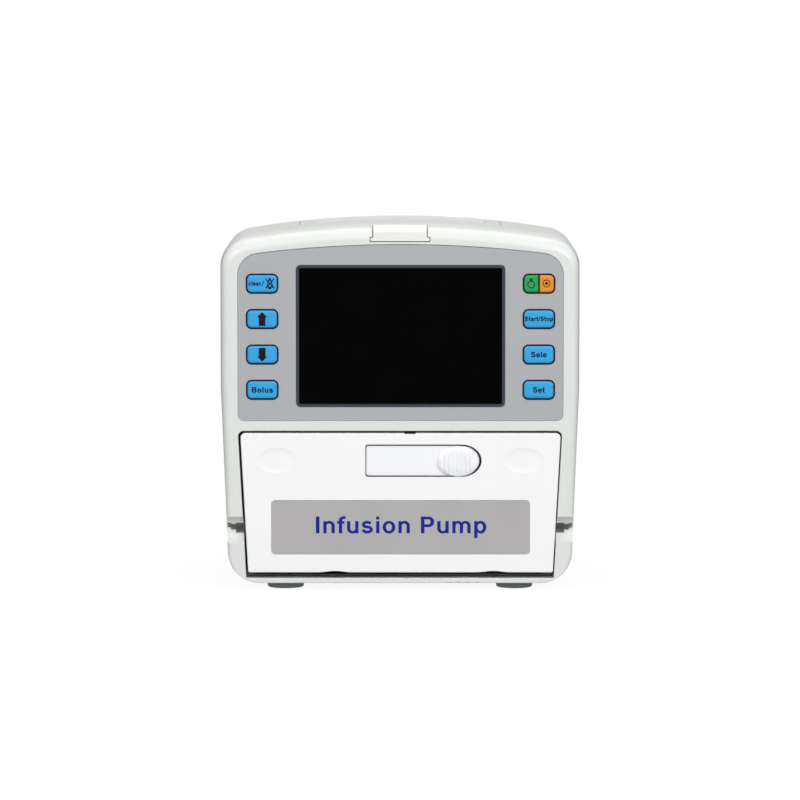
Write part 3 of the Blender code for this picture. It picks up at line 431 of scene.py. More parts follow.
# Bold upright letters on a body 1000 high: advance, then the shapes that make each up.
LETTERS = {
    " ": (278, []),
    "I": (292, [bar(72, 0, 220, 716)]),
    "i": (282, [bar(72, 0, 211, 519), bar(72, 589, 211, 716)]),
    "l": (282, [bar(72, 0, 211, 716)]),
    "n": (611, [bar(66, 0, 204, 519), arc(323, 310, 223, 221, 103, 110, 0, 180, 306),
                bar(408, 0, 546, 314)]),
    "u": (611, [bar(408, 0, 546, 519), arc(289, 209, 223, 221, 103, 110, 180, 360, 306),
                bar(66, 205, 204, 519)]),
    "m": (889, [bar(62, 0, 200, 519), arc(304, 318, 208, 213, 88, 106, 0, 180, 288),
                bar(375, 0, 513, 322), arc(618, 318, 208, 213, 88, 106, 0, 180, 602),
                bar(689, 0, 827, 322)]),
    "p": (611, [bar(66, -205, 204, 519), full_ring(341, 259, 232, 272, 114, 162, 318)]),
    "o": (611, [full_ring(305, 259, 266, 272, 124, 160)]),
    "f": (336, [bar(86, 0, 224, 562), arc(300, 560, 214, 168, 76, 54, 90, 180),
                bar(298, 614, 362, 728), bar(11, 411, 318, 519)]),
    "s": (556, [ess(278, 166, -12, 531, 116, 136)]),
    "S": (667, [ess(334, 214, -12, 728, 132, 152)]),
    "P": (667, [bar(73, 0, 221, 716), bar(215, 595, 402, 716), bar(215, 263, 402, 382),
                arc(400, 489.5, 226, 226.5, 76, 106, -90, 90)]),
    "B": (722, [bar(73, 0, 221, 716), bar(215, 597, 412, 716), bar(215, 309, 432, 418),
                bar(215, 0, 432, 121), arc(410, 512.5, 210, 203.5, 70, 86, -90, 90),
                arc(430, 209, 236, 209, 88, 90, -90, 90)]),
    "c": (556, [arc(290, 259, 252, 272, 112, 160, 38, 322)]),
    "e": (556, [arc(284, 259, 248, 272, 108, 162, -9, 324), bar(120, 216, 470, 306)]),
    "a": (556, [arc(262, 352, 232, 179, 94, 66, 0, 152), bar(356, 0, 494, 356),
                full_ring(258, 155, 218, 167, 88, 56)]),
    "r": (405, [bar(66, 0, 204, 519), arc(330, 324, 188, 207, 126, 82, 70, 180)]),
    "t": (336, [bar(88, 120, 226, 696), bar(9, 411, 318, 519),
                arc(236, 130, 148, 142, 40, 40, 180, 270), bar(234, -12, 318, 92)]),
    "/": (320, [[(6, -20), (116, -20), (312, 730), (202, 730)]]),
}
LETTER_THICK = 0.12


def grown(points, d):
    """Outline pushed outwards by d."""
    n = len(points)
    area = sum(points[i][0] * points[(i + 1) % n][1] - points[(i + 1) % n][0] * points[i][1]
               for i in range(n))
    turn = 1 if area > 0 else -1
    out = []
    for i in range(n):
        here = Vector(points[i])
        a, b = here - Vector(points[i - 1]), Vector(points[(i + 1) % n]) - here
        na, nb = Vector((a.y, -a.x)).normalized(), Vector((b.y, -b.x)).normalized()
        m = (na + nb).normalized()
        out.append(tuple(here + m * (turn * d / max(0.5, m.dot(na)))))
    return out


def text(words, size, x, z, yf, track, stretch=1.0, bold=0.0):
    """Raised lettering that faces the front; x is its middle, z its baseline, yf its face.
    track is added letter spacing and bold added weight, in letter units."""
    scale = size / 1000.0
    pen = -(sum(LETTERS[c][0] + track for c in words) - track) / 2
    pieces = []

    def solid(outline, holes=()):
        loops = [[(x + (pen + u) * scale * stretch, z + v * scale) for u, v in loop]
                 for loop in (outline, *holes)]
        return prism(loops[0], yf, yf + LETTER_THICK, loops[1:])

    for c in words:
        advance, shapes = LETTERS[c]
        made = None
        for shape in shapes:
            if isinstance(shape, tuple):
                piece = solid(grown(shape[0], bold), [grown(shape[1], -bold)])
            else:
                piece = solid(grown(shape, bold) if bold else shape)
            made = piece if made is None else add(made, piece)
        if made is not None:
            pieces.append(made)
        pen += advance + track
    return merge(pieces)


# ---- materials --------------------------------------------------------------------
def wire(node, values):
    """Sets a node's inputs; a socket given as value is linked."""
    for socket, value in values.items():
        if isinstance(value, bpy.types.NodeSocket):
            node.id_data.links.new(value, node.inputs[socket])
        else:
            node.inputs[socket].default_value = value
    return node


def shader_node(tree, kind, values=None, **settings):
    return wire(configure(tree.nodes.new("ShaderNode" + kind), **settings), values or {})


def srgb(*rgb):
    return tuple(c / 255 / 12.92 if c / 255 <= 0.04045 else ((c / 255 + 0.055) / 1.055) ** 2.4
                 for c in rgb)


def surface(name, colour, rough, rough_var, grain, bump, mottle, patch, spec,
            metal=0.0, brushed=False):
    """Procedural finish: large soft colour patches, fine grain in colour, roughness and bump.
    brushed stretches the grain along X."""
    made = bpy.data.materials.new(name)
    made.use_nodes = True
    tree = made.node_tree
    where = shader_node(tree, "TexCoord").outputs["Object"]
    mapping = shader_node(tree, "Mapping", {"Vector": where})
    if brushed:
        mapping.inputs["Scale"].default_value = (0.03, 1.0, 1.0)
    stretched = mapping.outputs["Vector"]

    def noise(size, detail, source):
        return shader_node(tree, "TexNoise", {
            "Scale": 1.0 / (size * MM), "Detail": detail, "Vector": source}).outputs["Fac"]

    def ranged(value, low, high):
        return shader_node(tree, "MapRange", {
            "From Min": 0.25, "From Max": 0.75, "To Min": low, "To Max": high,
            "Value": value}).outputs["Result"]

    fine = noise(grain, 3.0, stretched)
    soft = noise(patch, 2.0, where)
    middle = noise(grain * 6, 3.0, stretched)
    shade = shader_node(tree, "Math", {
        0: ranged(soft, 1.0 - mottle, 1.0 + mottle * 0.6),
        1: ranged(fine, 1.0 - mottle * 0.6, 1.0 + mottle * 0.6)}, operation="MULTIPLY")
    tint = shader_node(tree, "MixRGB", {
        "Fac": 1.0, "Color1": (*colour, 1.0), "Color2": shade.outputs["Value"]},
        blend_type="MULTIPLY")
    height = shader_node(tree, "Bump", {
        "Strength": 1.0, "Distance": bump * grain * MM, "Height": fine})
    wire(tree.nodes["Principled BSDF"], {
        "Base Color": tint.outputs["Color"],
        "Roughness": ranged(middle, rough - rough_var, rough + rough_var),
        "Normal": height.outputs["Normal"],
        "Metallic": metal,
        "Specular IOR Level": spec})
    return made


HOUSING_ABS = (srgb(221, 224, 220), 0.33, 0.03, 0.30, 0.05, 0.012, 45, 0.45)
KEY_FILM = (0.42, 0.06, 0.14, 0.10, 0.03, 9, 0.4)
ALUMINIUM = (0.60, 0.61, 0.62)
METAL = {"metal": 1.0}
BRUSHED = {"metal": 1.0, "brushed": True}

# Columns: material name, colour, roughness and its spread, grain size in mm, bump height
# as a share of the grain, strength of the colour mottle, patch size in mm, specular level.
# A closing dict holds the settings few finishes need.
MATERIALS = {
    "housing": ("housing_abs", *HOUSING_ABS),
    "housing_trim": ("housing_trim_abs", *HOUSING_ABS),
    "door": ("door_abs", srgb(243, 243, 244), 0.34, 0.06, 0.25, 0.05, 0.008, 50, 0.4),
    "latch": ("latch_abs", srgb(242, 243, 246), 0.34, 0.06, 0.25, 0.05, 0.008, 30, 0.4),
    "overlay": ("overlay_film", srgb(171, 173, 176), 0.5, 0.06, 0.16, 0.12, 0.02, 35, 0.35),
    "glass": ("display_gloss", (0.0018, 0.0018, 0.0019), 0.09, 0.03, 2.4, 0.006, 0.2, 25, 0.35),
    "border": ("display_border_ink", srgb(60, 66, 80), 0.4, 0.06, 0.2, 0.07, 0.04, 20, 0.35),
    "ink": ("black_ink", (0.004, 0.0045, 0.006), 0.5, 0.06, 0.15, 0.10, 0.1, 30, 0.3),
    "key_blue": ("key_blue_film", srgb(50, 160, 220), *KEY_FILM),
    "key_green": ("key_green_film", srgb(33, 160, 84), *KEY_FILM),
    "key_orange": ("key_orange_film", srgb(226, 142, 38), *KEY_FILM),
    "lens": ("lamp_milky_polycarbonate", srgb(231, 233, 228),
             0.34, 0.02, 1.6, 0.010, 0.006, 14, 0.4),
    "label": ("label_film_grey", srgb(175, 172, 173), 0.55, 0.06, 0.13, 0.12, 0.03, 22, 0.3),
    "label_ink": ("label_ink_blue", srgb(4, 24, 146), 0.5, 0.06, 0.12, 0.12, 0.06, 10, 0.3),
    "rubber": ("foot_rubber", srgb(112, 121, 116), 0.8, 0.06, 0.22, 0.30, 0.06, 8, 0.25),
    "black_rubber": ("jaw_rubber", (0.035, 0.037, 0.036), 0.78, 0.06, 0.3, 0.35, 0.10, 8, 0.25),
    "chassis": ("chassis_glass_filled", srgb(108, 113, 106),
                0.6, 0.06, 0.28, 0.22, 0.06, 18, 0.35),
    "guide": ("tube_guide_grey", srgb(142, 147, 140), 0.5, 0.06, 0.25, 0.15, 0.04, 9, 0.35),
    "black": ("black_moulded", (0.014, 0.0145, 0.015), 0.5, 0.06, 0.26, 0.25, 0.12, 15, 0.4),
    "cast": ("cast_aluminium", ALUMINIUM, 0.46, 0.08, 0.4, 0.16, 0.03, 12, 0.5,
             {"metal": 0.55}),
    "brushed": ("brushed_aluminium", ALUMINIUM, 0.34, 0.06, 0.12, 0.13, 0.035, 25, 0.5, BRUSHED),
    "steel": ("ground_steel", (0.52, 0.53, 0.54), 0.27, 0.1, 0.1, 0.15, 0.05, 10, 0.5, METAL),
    "brass": ("connector_brass", (0.62, 0.47, 0.22), 0.3, 0.06, 0.15, 0.1, 0.06, 5, 0.5, METAL),
    "board": ("solder_mask_green", (0.012, 0.11, 0.045), 0.35, 0.06, 0.8, 0.10, 0.25, 6, 0.5),
    "acetal": ("machined_acetal", (0.80, 0.79, 0.75), 0.38, 0.06, 0.12, 0.16, 0.02, 10, 0.5,
               {"brushed": True}),
    "battery": ("battery_wrap_blue", (0.02, 0.07, 0.26), 0.32, 0.06, 0.5, 0.06, 0.06, 12, 0.5),
    "belt": ("belt_neoprene", (0.02, 0.02, 0.021), 0.7, 0.06, 0.3, 0.4, 0.15, 8, 0.3),
    "grille": ("grille_mesh_black", (0.006, 0.006, 0.006), 0.7, 0.06, 0.4, 0.3, 0.2, 6, 0.3),
}
FINISHES = {}
for key, row in MATERIALS.items():
    extras = row[-1] if isinstance(row[-1], dict) else {}
    FINISHES[key] = surface(*row[:9], **extras)


# ---- outlines of the housing, panel, door and latch -----------------------------------
def crown(x, top, radius):
    """Height at x of the gently arched top."""
    return top - x * x / (2 * radius)


def casing_outline(inset):
    half, top = HALF_WIDTH - inset, TOP_Z - inset
    radius = TOP_ARC_R - inset
    right = [(FOOT_HALF_WIDTH - inset, BOTTOM_Z + inset, LOW_CORNER_R - inset),
             (half, TAPER_Z, 150.0),
             (half, crown(half, top, radius), TOP_CORNER_R - inset)]
    arch = [(x, crown(x, top, radius), 0.0) for x in range(68, -69, -4)]
    left = [(-x, z, r) for x, z, r in reversed(right)]
    return rounded(right + arch + left, 24)


def overlay_outline(inset, drop=0.0):
    """Keypad film; drop lowers the top edge only."""
    half, top = OVERLAY_HALF - inset, OVERLAY_TOP - inset - drop
    r, low_r, low = 12.0 - inset, 3.4 - inset, OVERLAY_BOTTOM + inset
    edge = crown(half, top, OVERLAY_ARC_R)
    arch = [(PANEL_X + x, crown(x, top, OVERLAY_ARC_R), 0.0) for x in range(72, -73, -6)]
    return rounded([(PANEL_X + half, low, low_r), (PANEL_X + half, edge, r), *arch,
                    (PANEL_X - half, edge, r), (PANEL_X - half, low, low_r)], 16)


def opening_outline(inset):
    """Door opening, wider at the top."""
    t, b = OPEN_HALF_TOP - inset, OPEN_HALF_BOTTOM - inset
    top, low = OPEN_TOP - inset, OPEN_BOTTOM + inset
    r, low_r = 3.2 - inset, 0.8 - inset
    return rounded([(b, low, low_r), (t, top, r), (-t, top, r), (-b, low, low_r)], 10)


def door_half(z):
    t = (z - DOOR_BOTTOM) / (DOOR_TOP - DOOR_BOTTOM)
    return DOOR_HALF_BOTTOM + (DOOR_HALF_TOP - DOOR_HALF_BOTTOM) * t


def door_outline(inset, bottom=DOOR_BOTTOM):
    top, low = DOOR_TOP - inset, bottom + inset
    r, low_r = max(0.4, 2.6 - inset), max(0.4, 1.2 - inset)
    return rounded([(DOOR_X + door_half(low) - inset, low, low_r),
                    (DOOR_X + door_half(top) - inset, top, r),
                    (DOOR_X - door_half(top) + inset, top, r),
                    (DOOR_X - door_half(low) + inset, low, low_r)], 8)


def key_outline(x, z, grow):
    w, h = KEY_W / 2 + grow, KEY_H / 2 + grow
    return rectangle(x - w, x + w, z - h, z + h, max(0.3, KEY_R + grow))


def latch_outline(x0, x1, half, rx, corner, inset=0.0):
    """Left end with small corners, half-ellipse right end."""
    x0, x1, half, rx = x0 + inset, x1 - inset, half - inset, rx - inset
    c = max(0.15, corner - inset)
    out = []
    for start, way in ((math.pi / 2, 1), (math.pi, -1)):
        for k in range(7):
            t = start + math.pi / 2 * k / 6
            out.append((x0 + c + c * math.cos(t), LATCH_Z + way * (half - c) + c * math.sin(t)))
    for degrees in range(-90, 91, 5):
        t = math.radians(degrees)
        out.append((x1 - rx + rx * math.cos(t), LATCH_Z + half * math.sin(t)))
    return out


def lamp_outline(grow):
    """Lamp seen from the front: a wider sill below, straight sides above."""
    half, sill_half = 14.9, 16.4
    points = [(-sill_half, 195.0, 0.3), (sill_half, 195.0, 0.3), (sill_half, 196.9, 0.4),
              (half, 197.1, 0.3), (half, 208, 0), (-half, 208, 0), (-half, 197.1, 0.3),
              (-sill_half, 196.9, 0.4)]
    out = []
    for x, z, r in points:
        lower = grow if z < 196 else -grow if z < 200 else 0
        out.append((x + math.copysign(grow, x), z - lower, r))
    return rounded(out, 5)


def shell_blank(y_edge, y_flat, radius, side_radius, draw=0.0, draw_to=0.0):
    """Solid lofted through the casing outline, rounded over at y_edge by a radius that
    fades towards the bottom, straight to y_flat. side_radius is the rounding where the
    wall is upright. With draw, the outline is smaller by that much where the rounding
    ends, which leaves a crease, and widens to its full size by the depth draw_to."""
    outline = [Vector(p) for p in casing_outline(0)]
    n = len(outline)
    side = 1 if y_flat > y_edge else -1
    limit = math.radians(72.0 if draw else 90.0)
    stations = []       # point, outward normal, edge radius, shrinkage
    for i, p in enumerate(outline):
        along = (outline[(i + 1) % n] - p).normalized() + (p - outline[i - 1]).normalized()
        normal = Vector((along.y, -along.x)).normalized()
        upright = 1.0 - max(0.0, min(1.0, normal.y * 1.15)) ** 1.5
        fade = max(0.12, min(1.0, (p.y - 5.0) / 26))
        stations.append((p, normal, (radius + (side_radius - radius) * upright) * fade,
                         draw * max(0.0, min(1.0, (p.y - 6.0) / 30))))
    rings = []
    for k in range(13):
        turn = limit * k / 12
        ring = []
        for p, normal, r, less in stations:
            q = p - normal * (less + r * (1 - math.sin(turn) / math.sin(limit)))
            depth = y_edge + side * r * (1 - math.cos(turn)) / (1 - math.cos(limit))
            ring.append((q.x, depth, q.y))
        rings.append(ring)
    if draw:
        for k in range(1, 7):
            t = k / 6
            ring = []
            for p, normal, r, less in stations:
                q = p - normal * less * (1 - t) ** 1.6
                ring.append((q.x, r + (draw_to - r) * t, q.y))
            rings.append(ring)
    return loft(rings + [laid(outline, y_flat)])


# ---- front shell --------------------------------------------------------------------
LAMP_GAP = 0.42
# upper right half of the tube slot's section, as (distance from the middle, z, radius)
SLOT_OUTLINE = rounded([
    (80, SLOT_Z0, 0), (91.9, SLOT_Z0, 0.2), (91.9, SLOT_Z0 + 1.6, 0.3), (94.3, SLOT_Z0 + 1.6, 0.3),
    (94.8, SLOT_Z0 + 2.7, 0.3), (101, SLOT_Z0 + 3.1, 0), (101, SLOT_Z1, 0), (94.6, SLOT_Z1, 0.2),
    (94.3, SLOT_Z1 - 0.7, 0.2), (92.1, SLOT_Z1 - 0.7, 0.2), (91.9, SLOT_Z1, 0.2),
    (80, SLOT_Z1, 0)], 4)

front = shell_blank(0, SPLIT_Y, FRONT_EDGE, FRONT_SIDE_EDGE, draw=1.3, draw_to=28.0)
cavity = prism(casing_outline(WALL), WALL, SPLIT_Y + 1)
# material left standing around the door opening and the tube slots
cut(cavity, prism(opening_outline(-2.2), WALL - 0.5, 14.7))
for side in (-1, 1):
    cut(cavity, box(*mirrored(side, 84.0, 99.0), WALL - 0.7, 14.6, 20, 47))
cut(front, cavity)
cut(front, flare(opening_outline, 0.0, 16, 0.6))
cut(front, flare(lambda i: overlay_outline(i - 0.16), 0.0, 1.2, 0.12, 3))
cut(front, prism(rectangle(*spread(WINDOW, GAP), 2.6), -1, 2.0))
cut(front, box(-55, 55, 1, 4, 105.5, 178.8))
for x, z in KEY_SPOTS:
    cut(front, prism(key_outline(x, z, 0.35), -1, 4))
# lamp notch in the top edge, and the bed behind it
cut(front, prism(lamp_outline(LAMP_GAP), -1, 8.3))
cut(front, box(-15.3, 15.3, 8.0, 16.3, 201.9, 208))
for side in (-1, 1):
    # Tube slot: necked mouth, straight channel, chamfer above and scooped lead-in below.
    a, b = mirrored(side, 80, 101)
    cut(front, prism([(side * x, z) for x, z in SLOT_OUTLINE], -1, 10.5))
    cut(front, box(a, b, 10.0, 15, SLOT_Z0, SLOT_Z1))
    cut(front, prism([(-1, 41.9), (-1, 36.9), (5.6, 36.9)], a, b, axis="X"))
    # the scoop's edge curves up towards the outside
    rings = []
    for k in range(13):
        x = 80 + 21 * k / 12
        lift = 0.05 * max(0.0, x - 88) ** 2 * 0.35
        scoop = ellipse(-1.0, 33.2 + lift * 0.3, 7.4, 7.9 - lift * 0.35, 72)
        rings.append(laid(scoop, side * x, "X"))
    cut(front, loft(rings))
# small drain slots under the front edge
for k in range(4):
    x = 27.5 + 5.2 * k
    cut(front, prism(rectangle(x - 1.3, x + 1.3, -1.0, 1.2, 0.3, 4), 3.0, 4.4, axis="Z"))
# grooved tube guides with ticks, behind the slots
for side, label in ((-1, "left"), (1, "right")):
    a, b = mirrored(side, 85.0, 96.6)
    guide = box(a, b, 12.2, 14.55, SLOT_Z0 - 0.4, SLOT_Z1 + 0.4, 0.3)
    cut(guide, rod(2.2, a - 1, b + 1, 11.0, TUBE_Z - 0.3, 40, "X"))
    for k in range(4):
        x = side * (87 + 2.6 * k)
        cut(guide, box(x - 0.3, x + 0.3, 11, 12.7, SLOT_Z0 - 1, SLOT_Z1 + 1))
    done(guide, "tube_guide_" + label, "housing", "guide")
done(front, "front_shell", "housing", "housing", "front_casing", smooth=20)

# ---- rear shell ---------------------------------------------------------------------
rear = shell_blank(DEPTH, SPLIT_Y + GAP, REAR_EDGE, REAR_EDGE)
cavity = prism(casing_outline(WALL), SPLIT_Y - 1, DEPTH - WALL)
# walls of the handle tub and the screw bosses stay
cut(cavity, box(-62.2, 62.2, 48.2, 108, 183.2, 206))
for x, z in REAR_SCREWS:
    cut(cavity, rod(5.5, 98, 108, x, z, 40))
cut(rear, cavity)
# handle recess in the top, and its pivot holes
cut(rear, prism(rectangle(-57.4, 57.4, 53.5, 104.2, 1.0), 186.2, 212, axis="Z"))
cut(rear, rod(2.35, -61.3, 61.3, PIVOT_Y, PIVOT_Z, 32, "X"))
for x, z in REAR_SCREWS:
    cut(rear, turned([(4.1, 112), (4.1, 110.0), (3.4, 109.3), (3.4, 106.8)], x, z, 48),
        rod(1.9, 96, 108, x, z, 24))
# openings for the battery lid, the mains socket and the serial port
for bounds, corner, edge in ((BATTERY_OPENING, 2, 0.5), (spread(MAINS_SOCKET, GAP), 0.6, 0.4),
                             (spread(SERIAL_PORT, GAP), 0.6, 0.4)):
    cut(rear, flare(inset_rect(*bounds, corner), DEPTH, 100, edge))


def cut_rear_slot(bounds, r):
    cut(rear, flare(inset_rect(*bounds, r, steps=6), DEPTH, 100, 0.3, 3))


# speaker slots, then two rows of vents
for k in range(5):
    cut_rear_slot((-72, -48, 133.2 + 4 * k, 135.0 + 4 * k), 0.85)
for row in range(2):
    for k in range(9):
        x = 44 + 5 * k
        cut_rear_slot((x - 1.0, x + 1.0, 128 + 16 * row, 139 + 16 * row), 0.95)
done(rear, "rear_shell", "housing", "housing", "rear_casing")

# ---- overlay film and display -----------------------------------------------------------
film = pillow(lambda i: overlay_outline(i, 0.25), 0.22, 0.9, 0.12, steps=3)
cut(film, prism(rectangle(*spread(WINDOW, 0.15), 2.6), -1, 2))
for x, z in KEY_SPOTS:
    cut(film, prism(key_outline(x, z, 0.66), -1, 2))
done(film, "overlay_film", "housing", "overlay", "keypad_overlay")

BORDER_W, LINE_W = 1.5, 0.25
window_outline = inset_rect(*WINDOW, 2.5, 0.8, 10)
glass = pillow(lambda i: window_outline(0.2 + i), 0.16, 1.7, 0.15, steps=3)
done(glass, "display_glass", "housing", "glass", "display_window")
border = prism(window_outline(0.0), 0.06, 0.5, [window_outline(BORDER_W)])
done(border, "display_border", "housing", "border")
line = prism(window_outline(BORDER_W), 0.10, 0.5, [window_outline(BORDER_W + LINE_W)])
done(line, "display_shadow_line", "housing", "ink")

# ---- keys ---------------------------------------------------------------------------
KEYS = {    # centre of each single key
    "clear_mute": (LEFT_X, KEY_ROWS[0]), "up": (LEFT_X, KEY_ROWS[1]),
    "down": (LEFT_X, KEY_ROWS[2]), "bolus": (LEFT_X, KEY_ROWS[3]),
    "start_stop": (RIGHT_X, KEY_ROWS[1]), "select": (RIGHT_X, KEY_ROWS[2]),
    "set": (RIGHT_X, KEY_ROWS[3])}
KEY_FACE = -0.42
KEY_BACK = 4.2
# soft edge of a key: (distance in from the outline, depth behind the key's face)
SHOULDER = [(0.0, 0.85), (0.12, 0.60), (0.3, 0.42), (0.5, 0.28),
            (0.75, 0.16), (1.1, 0.07), (1.5, 0.02), (2.1, 0.0)]
SPLIT_HALF = 0.3    # half the gap between the two power keys


def key_pad(key, x0, x1, z0, z1, radii, colour):
    """Domed pad with a soft shoulder, as an embossed film key has."""
    outline = inset_rect(x0, x1, z0, z1, radii, 0.12)
    rings = [laid(outline(inset), KEY_FACE + drop) for inset, drop in reversed(SHOULDER)]
    name = "key_" + key
    done(loft(rings + [laid(outline(0.0), KEY_BACK)]),
         name + "_cap", name + "_pad", colour, name)


for key, (x, z) in KEYS.items():
    key_pad(key, x - KEY_W / 2, x + KEY_W / 2, z - KEY_H / 2, z + KEY_H / 2, KEY_R, "key_blue")
top_z0, top_z1 = KEY_ROWS[0] - KEY_H / 2, KEY_ROWS[0] + KEY_H / 2
key_pad("power_on", RIGHT_X - KEY_W / 2, RIGHT_X - SPLIT_HALF, top_z0, top_z1,
        (KEY_R, 0.3, 0.3, KEY_R), "key_green")
key_pad("power_off", RIGHT_X + SPLIT_HALF, RIGHT_X + KEY_W / 2, top_z0, top_z1,
        (0.3, KEY_R, KEY_R, 0.3), "key_orange")

# black line around every key, and the divider between the power keys
outlines = []
for x, z in KEY_SPOTS:
    ring = pillow(lambda i: key_outline(x, z, 0.78 - i), 0.0, 1.0, 0.05, steps=3)
    outlines.append(cut(ring, prism(key_outline(x, z, 0.02), -1, 3)))
outlines.append(box(RIGHT_X - 0.26, RIGHT_X + 0.26, 0.0, 1.0, top_z0 + 0.02, top_z1 - 0.02))
done(merge(outlines), "key_outlines", "housing", "ink")

# ---- key legends --------------------------------------------------------------------
INK_Y = KEY_FACE - 0.03
INK_BACK = INK_Y + 0.15
DOT_BACK = INK_Y + 0.16


def legend(obj, key, follow=0.0):
    """Ink printed on a key; follow is how far a long word bends down with the shoulder."""
    if follow:
        cx, cz = KEYS[key]
        for v in obj.data.vertices:
            inset = max(0.0, min(KEY_W / 2 - abs(v.co.x / MM - cx),
                                 KEY_H / 2 - abs(v.co.z / MM - cz)))
            for (i0, d0), (i1, d1) in zip(SHOULDER, SHOULDER[1:]):
                if i0 <= inset < i1:
                    v.co.y += follow * (d0 + (d1 - d0) * (inset - i0) / (i1 - i0)) * MM
    done(obj, "legend_" + key, f"key_{key}_pad", "ink", weighted=False)


def arrow(x, z, way):
    """Arrow pointing up (way 1) or down (way -1)."""
    neck = z + way * 1.0
    return [(x - 1.85, z - way * 3.75), (x + 1.85, z - way * 3.75), (x + 1.85, neck),
            (x + 2.85, neck), (x, z + way * 3.95), (x - 2.85, neck), (x - 1.85, neck)]


def key_word(key, word, size=4.2, drop=1.5, track=24, stretch=1.0, bold=16, follow=0.0):
    x, z = KEYS[key]
    legend(text(word, size, x, z - drop, INK_Y, track, stretch, bold), key, follow)


legend(prism(arrow(*KEYS["up"], 1), INK_Y, INK_BACK), "up")
legend(prism(arrow(*KEYS["down"], -1), INK_Y, INK_BACK), "down")
key_word("bolus", "Bolus")
key_word("start_stop", "Start/Stop", size=3.3, drop=1.05, track=26, stretch=0.94, bold=20,
         follow=0.55)
key_word("select", "Sele")
key_word("set", "Set")

# mute symbol: a bell with a cross over it, beside the word
x, z = LEFT_X + 4.35, KEY_ROWS[0] + 0.05
BELL = [(-2.45, -2.15), (2.45, -2.15), (1.6, -1.15), (1.35, 0.9), (0.95, 1.8),
        (0.4, 2.2), (-0.4, 2.2), (-0.95, 1.8), (-1.35, 0.9), (-1.6, -1.15)]
BELL_INSIDE = [(-1.35, -1.55), (1.35, -1.55), (1.0, -0.8), (0.85, 0.8),
               (0.4, 1.55), (-0.4, 1.55), (-0.85, 0.8), (-1.0, -0.8)]
bell, inside = ([(x + u, z + v) for u, v in points] for points in (BELL, BELL_INSIDE))
mute = [prism(bell, INK_Y, INK_BACK, [inside]),
        prism(ellipse(x, z - 2.45, 0.85, 0.65, 20), INK_Y, DOT_BACK),
        prism(ellipse(x, z + 2.45, 0.65, 0.65, 20), INK_Y, DOT_BACK)]
for side in (-1, 1):
    along = Vector((side * 2.35, 2.7)).normalized()
    across = Vector((-along.y, along.x)) * 0.29
    a, b = Vector((x, z)) - along * 3.5, Vector((x, z)) + along * 3.5
    mute.append(prism([a + across, a - across, b - across, b + across],
                      INK_Y - 0.02 + 0.01 * side, INK_BACK))
mute.append(text("clear", 3.2, LEFT_X - 4.1, KEY_ROWS[0] - 1.0, INK_Y, 26, 0.88, 30))
a, b = Vector((LEFT_X - 0.35, KEY_ROWS[0] - 1.4)), Vector((LEFT_X + 1.05, KEY_ROWS[0] + 1.5))
across = Vector((0.20, -0.08))
mute.append(prism([a + across, b + across, b - across, a - across], INK_Y, INK_BACK))
legend(merge(mute), "clear_mute", 0.55)


def power_symbol(key, x, z, r, inner, dot, dot_back):
    """Ring and a dot; dot is (x, z, x radius, z radius)."""
    ring = prism(ellipse(x, z, r, r, 40), INK_Y, INK_BACK, [ellipse(x, z, inner, inner, 40)])
    legend(merge([ring, prism(ellipse(*dot, 24), INK_Y, dot_back)]), key)


x, z = RIGHT_X - 4.35, KEY_ROWS[0] - 0.5
power_symbol("power_on", x, z, 2.1, 1.62, (x, z + 2.55, 0.72, 0.95), DOT_BACK)
x, z = RIGHT_X + 4.15, KEY_ROWS[0] + 0.15
power_symbol("power_off", x, z, 2.15, 1.68, (x, z, 0.85, 0.85), INK_BACK)

# ---- alarm lamp ---------------------------------------------------------------------
LENS_FACE, LENS_BACK, LENS_TOP = -0.35, 15.9, 204.0
lens = prism(lamp_outline(0.0), LENS_FACE, 8.0)
add(lens, box(-14.9, 14.9, 7.5, LENS_BACK, 202.2, 208))
# rounded top front: keep what lies inside a side profile of (depth, z)
profile = [(LENS_FACE, 190)]
profile += [(LENS_FACE + 5.4 * rise, LENS_TOP - 4.6 * run) for rise, run in quarter(12)]
profile += [(9.0, LENS_TOP), (15.4, 203.75), (LENS_BACK, 203.5), (LENS_BACK, 190)]
join(lens, prism(profile, -20, 20, axis="X"), "INTERSECT")
soften(lens, 0.22)
done(lens, "lamp_lens", "housing", "lens", "alarm_lamp_lens")

# ---- door -----------------------------------------------------------------------------
RELIEF_HALF, RELIEF_RISE = 9.4, 0.95


def knuckle_outline(i):
    """Side view of a hinge knuckle, as (depth, z)."""
    return rounded([(1.4 + i, 10.4 + i, 0.3), (7.8 - i, 10.4 + i, 1.6),
                    (7.8 - i, 19.0 - i, 1.6), (1.4 + i, 19.0 - i, 0.3)], 5)


def dimple(cx, cz, rx, rz, deep):
    """Cutter for a shallow oval pocket with a soft wall and a nearly flat floor."""
    rings = []
    for k in range(24):
        s = 1.10 * (1 - k / 24.0)
        depth = deep * (1 - s ** 5) if s <= 1 else -deep * (s ** 5 - 1) * 2
        rings.append(laid(ellipse(cx, cz, rx * s, rz * s, 96), DOOR_FACE + depth))
    return loft(rings)


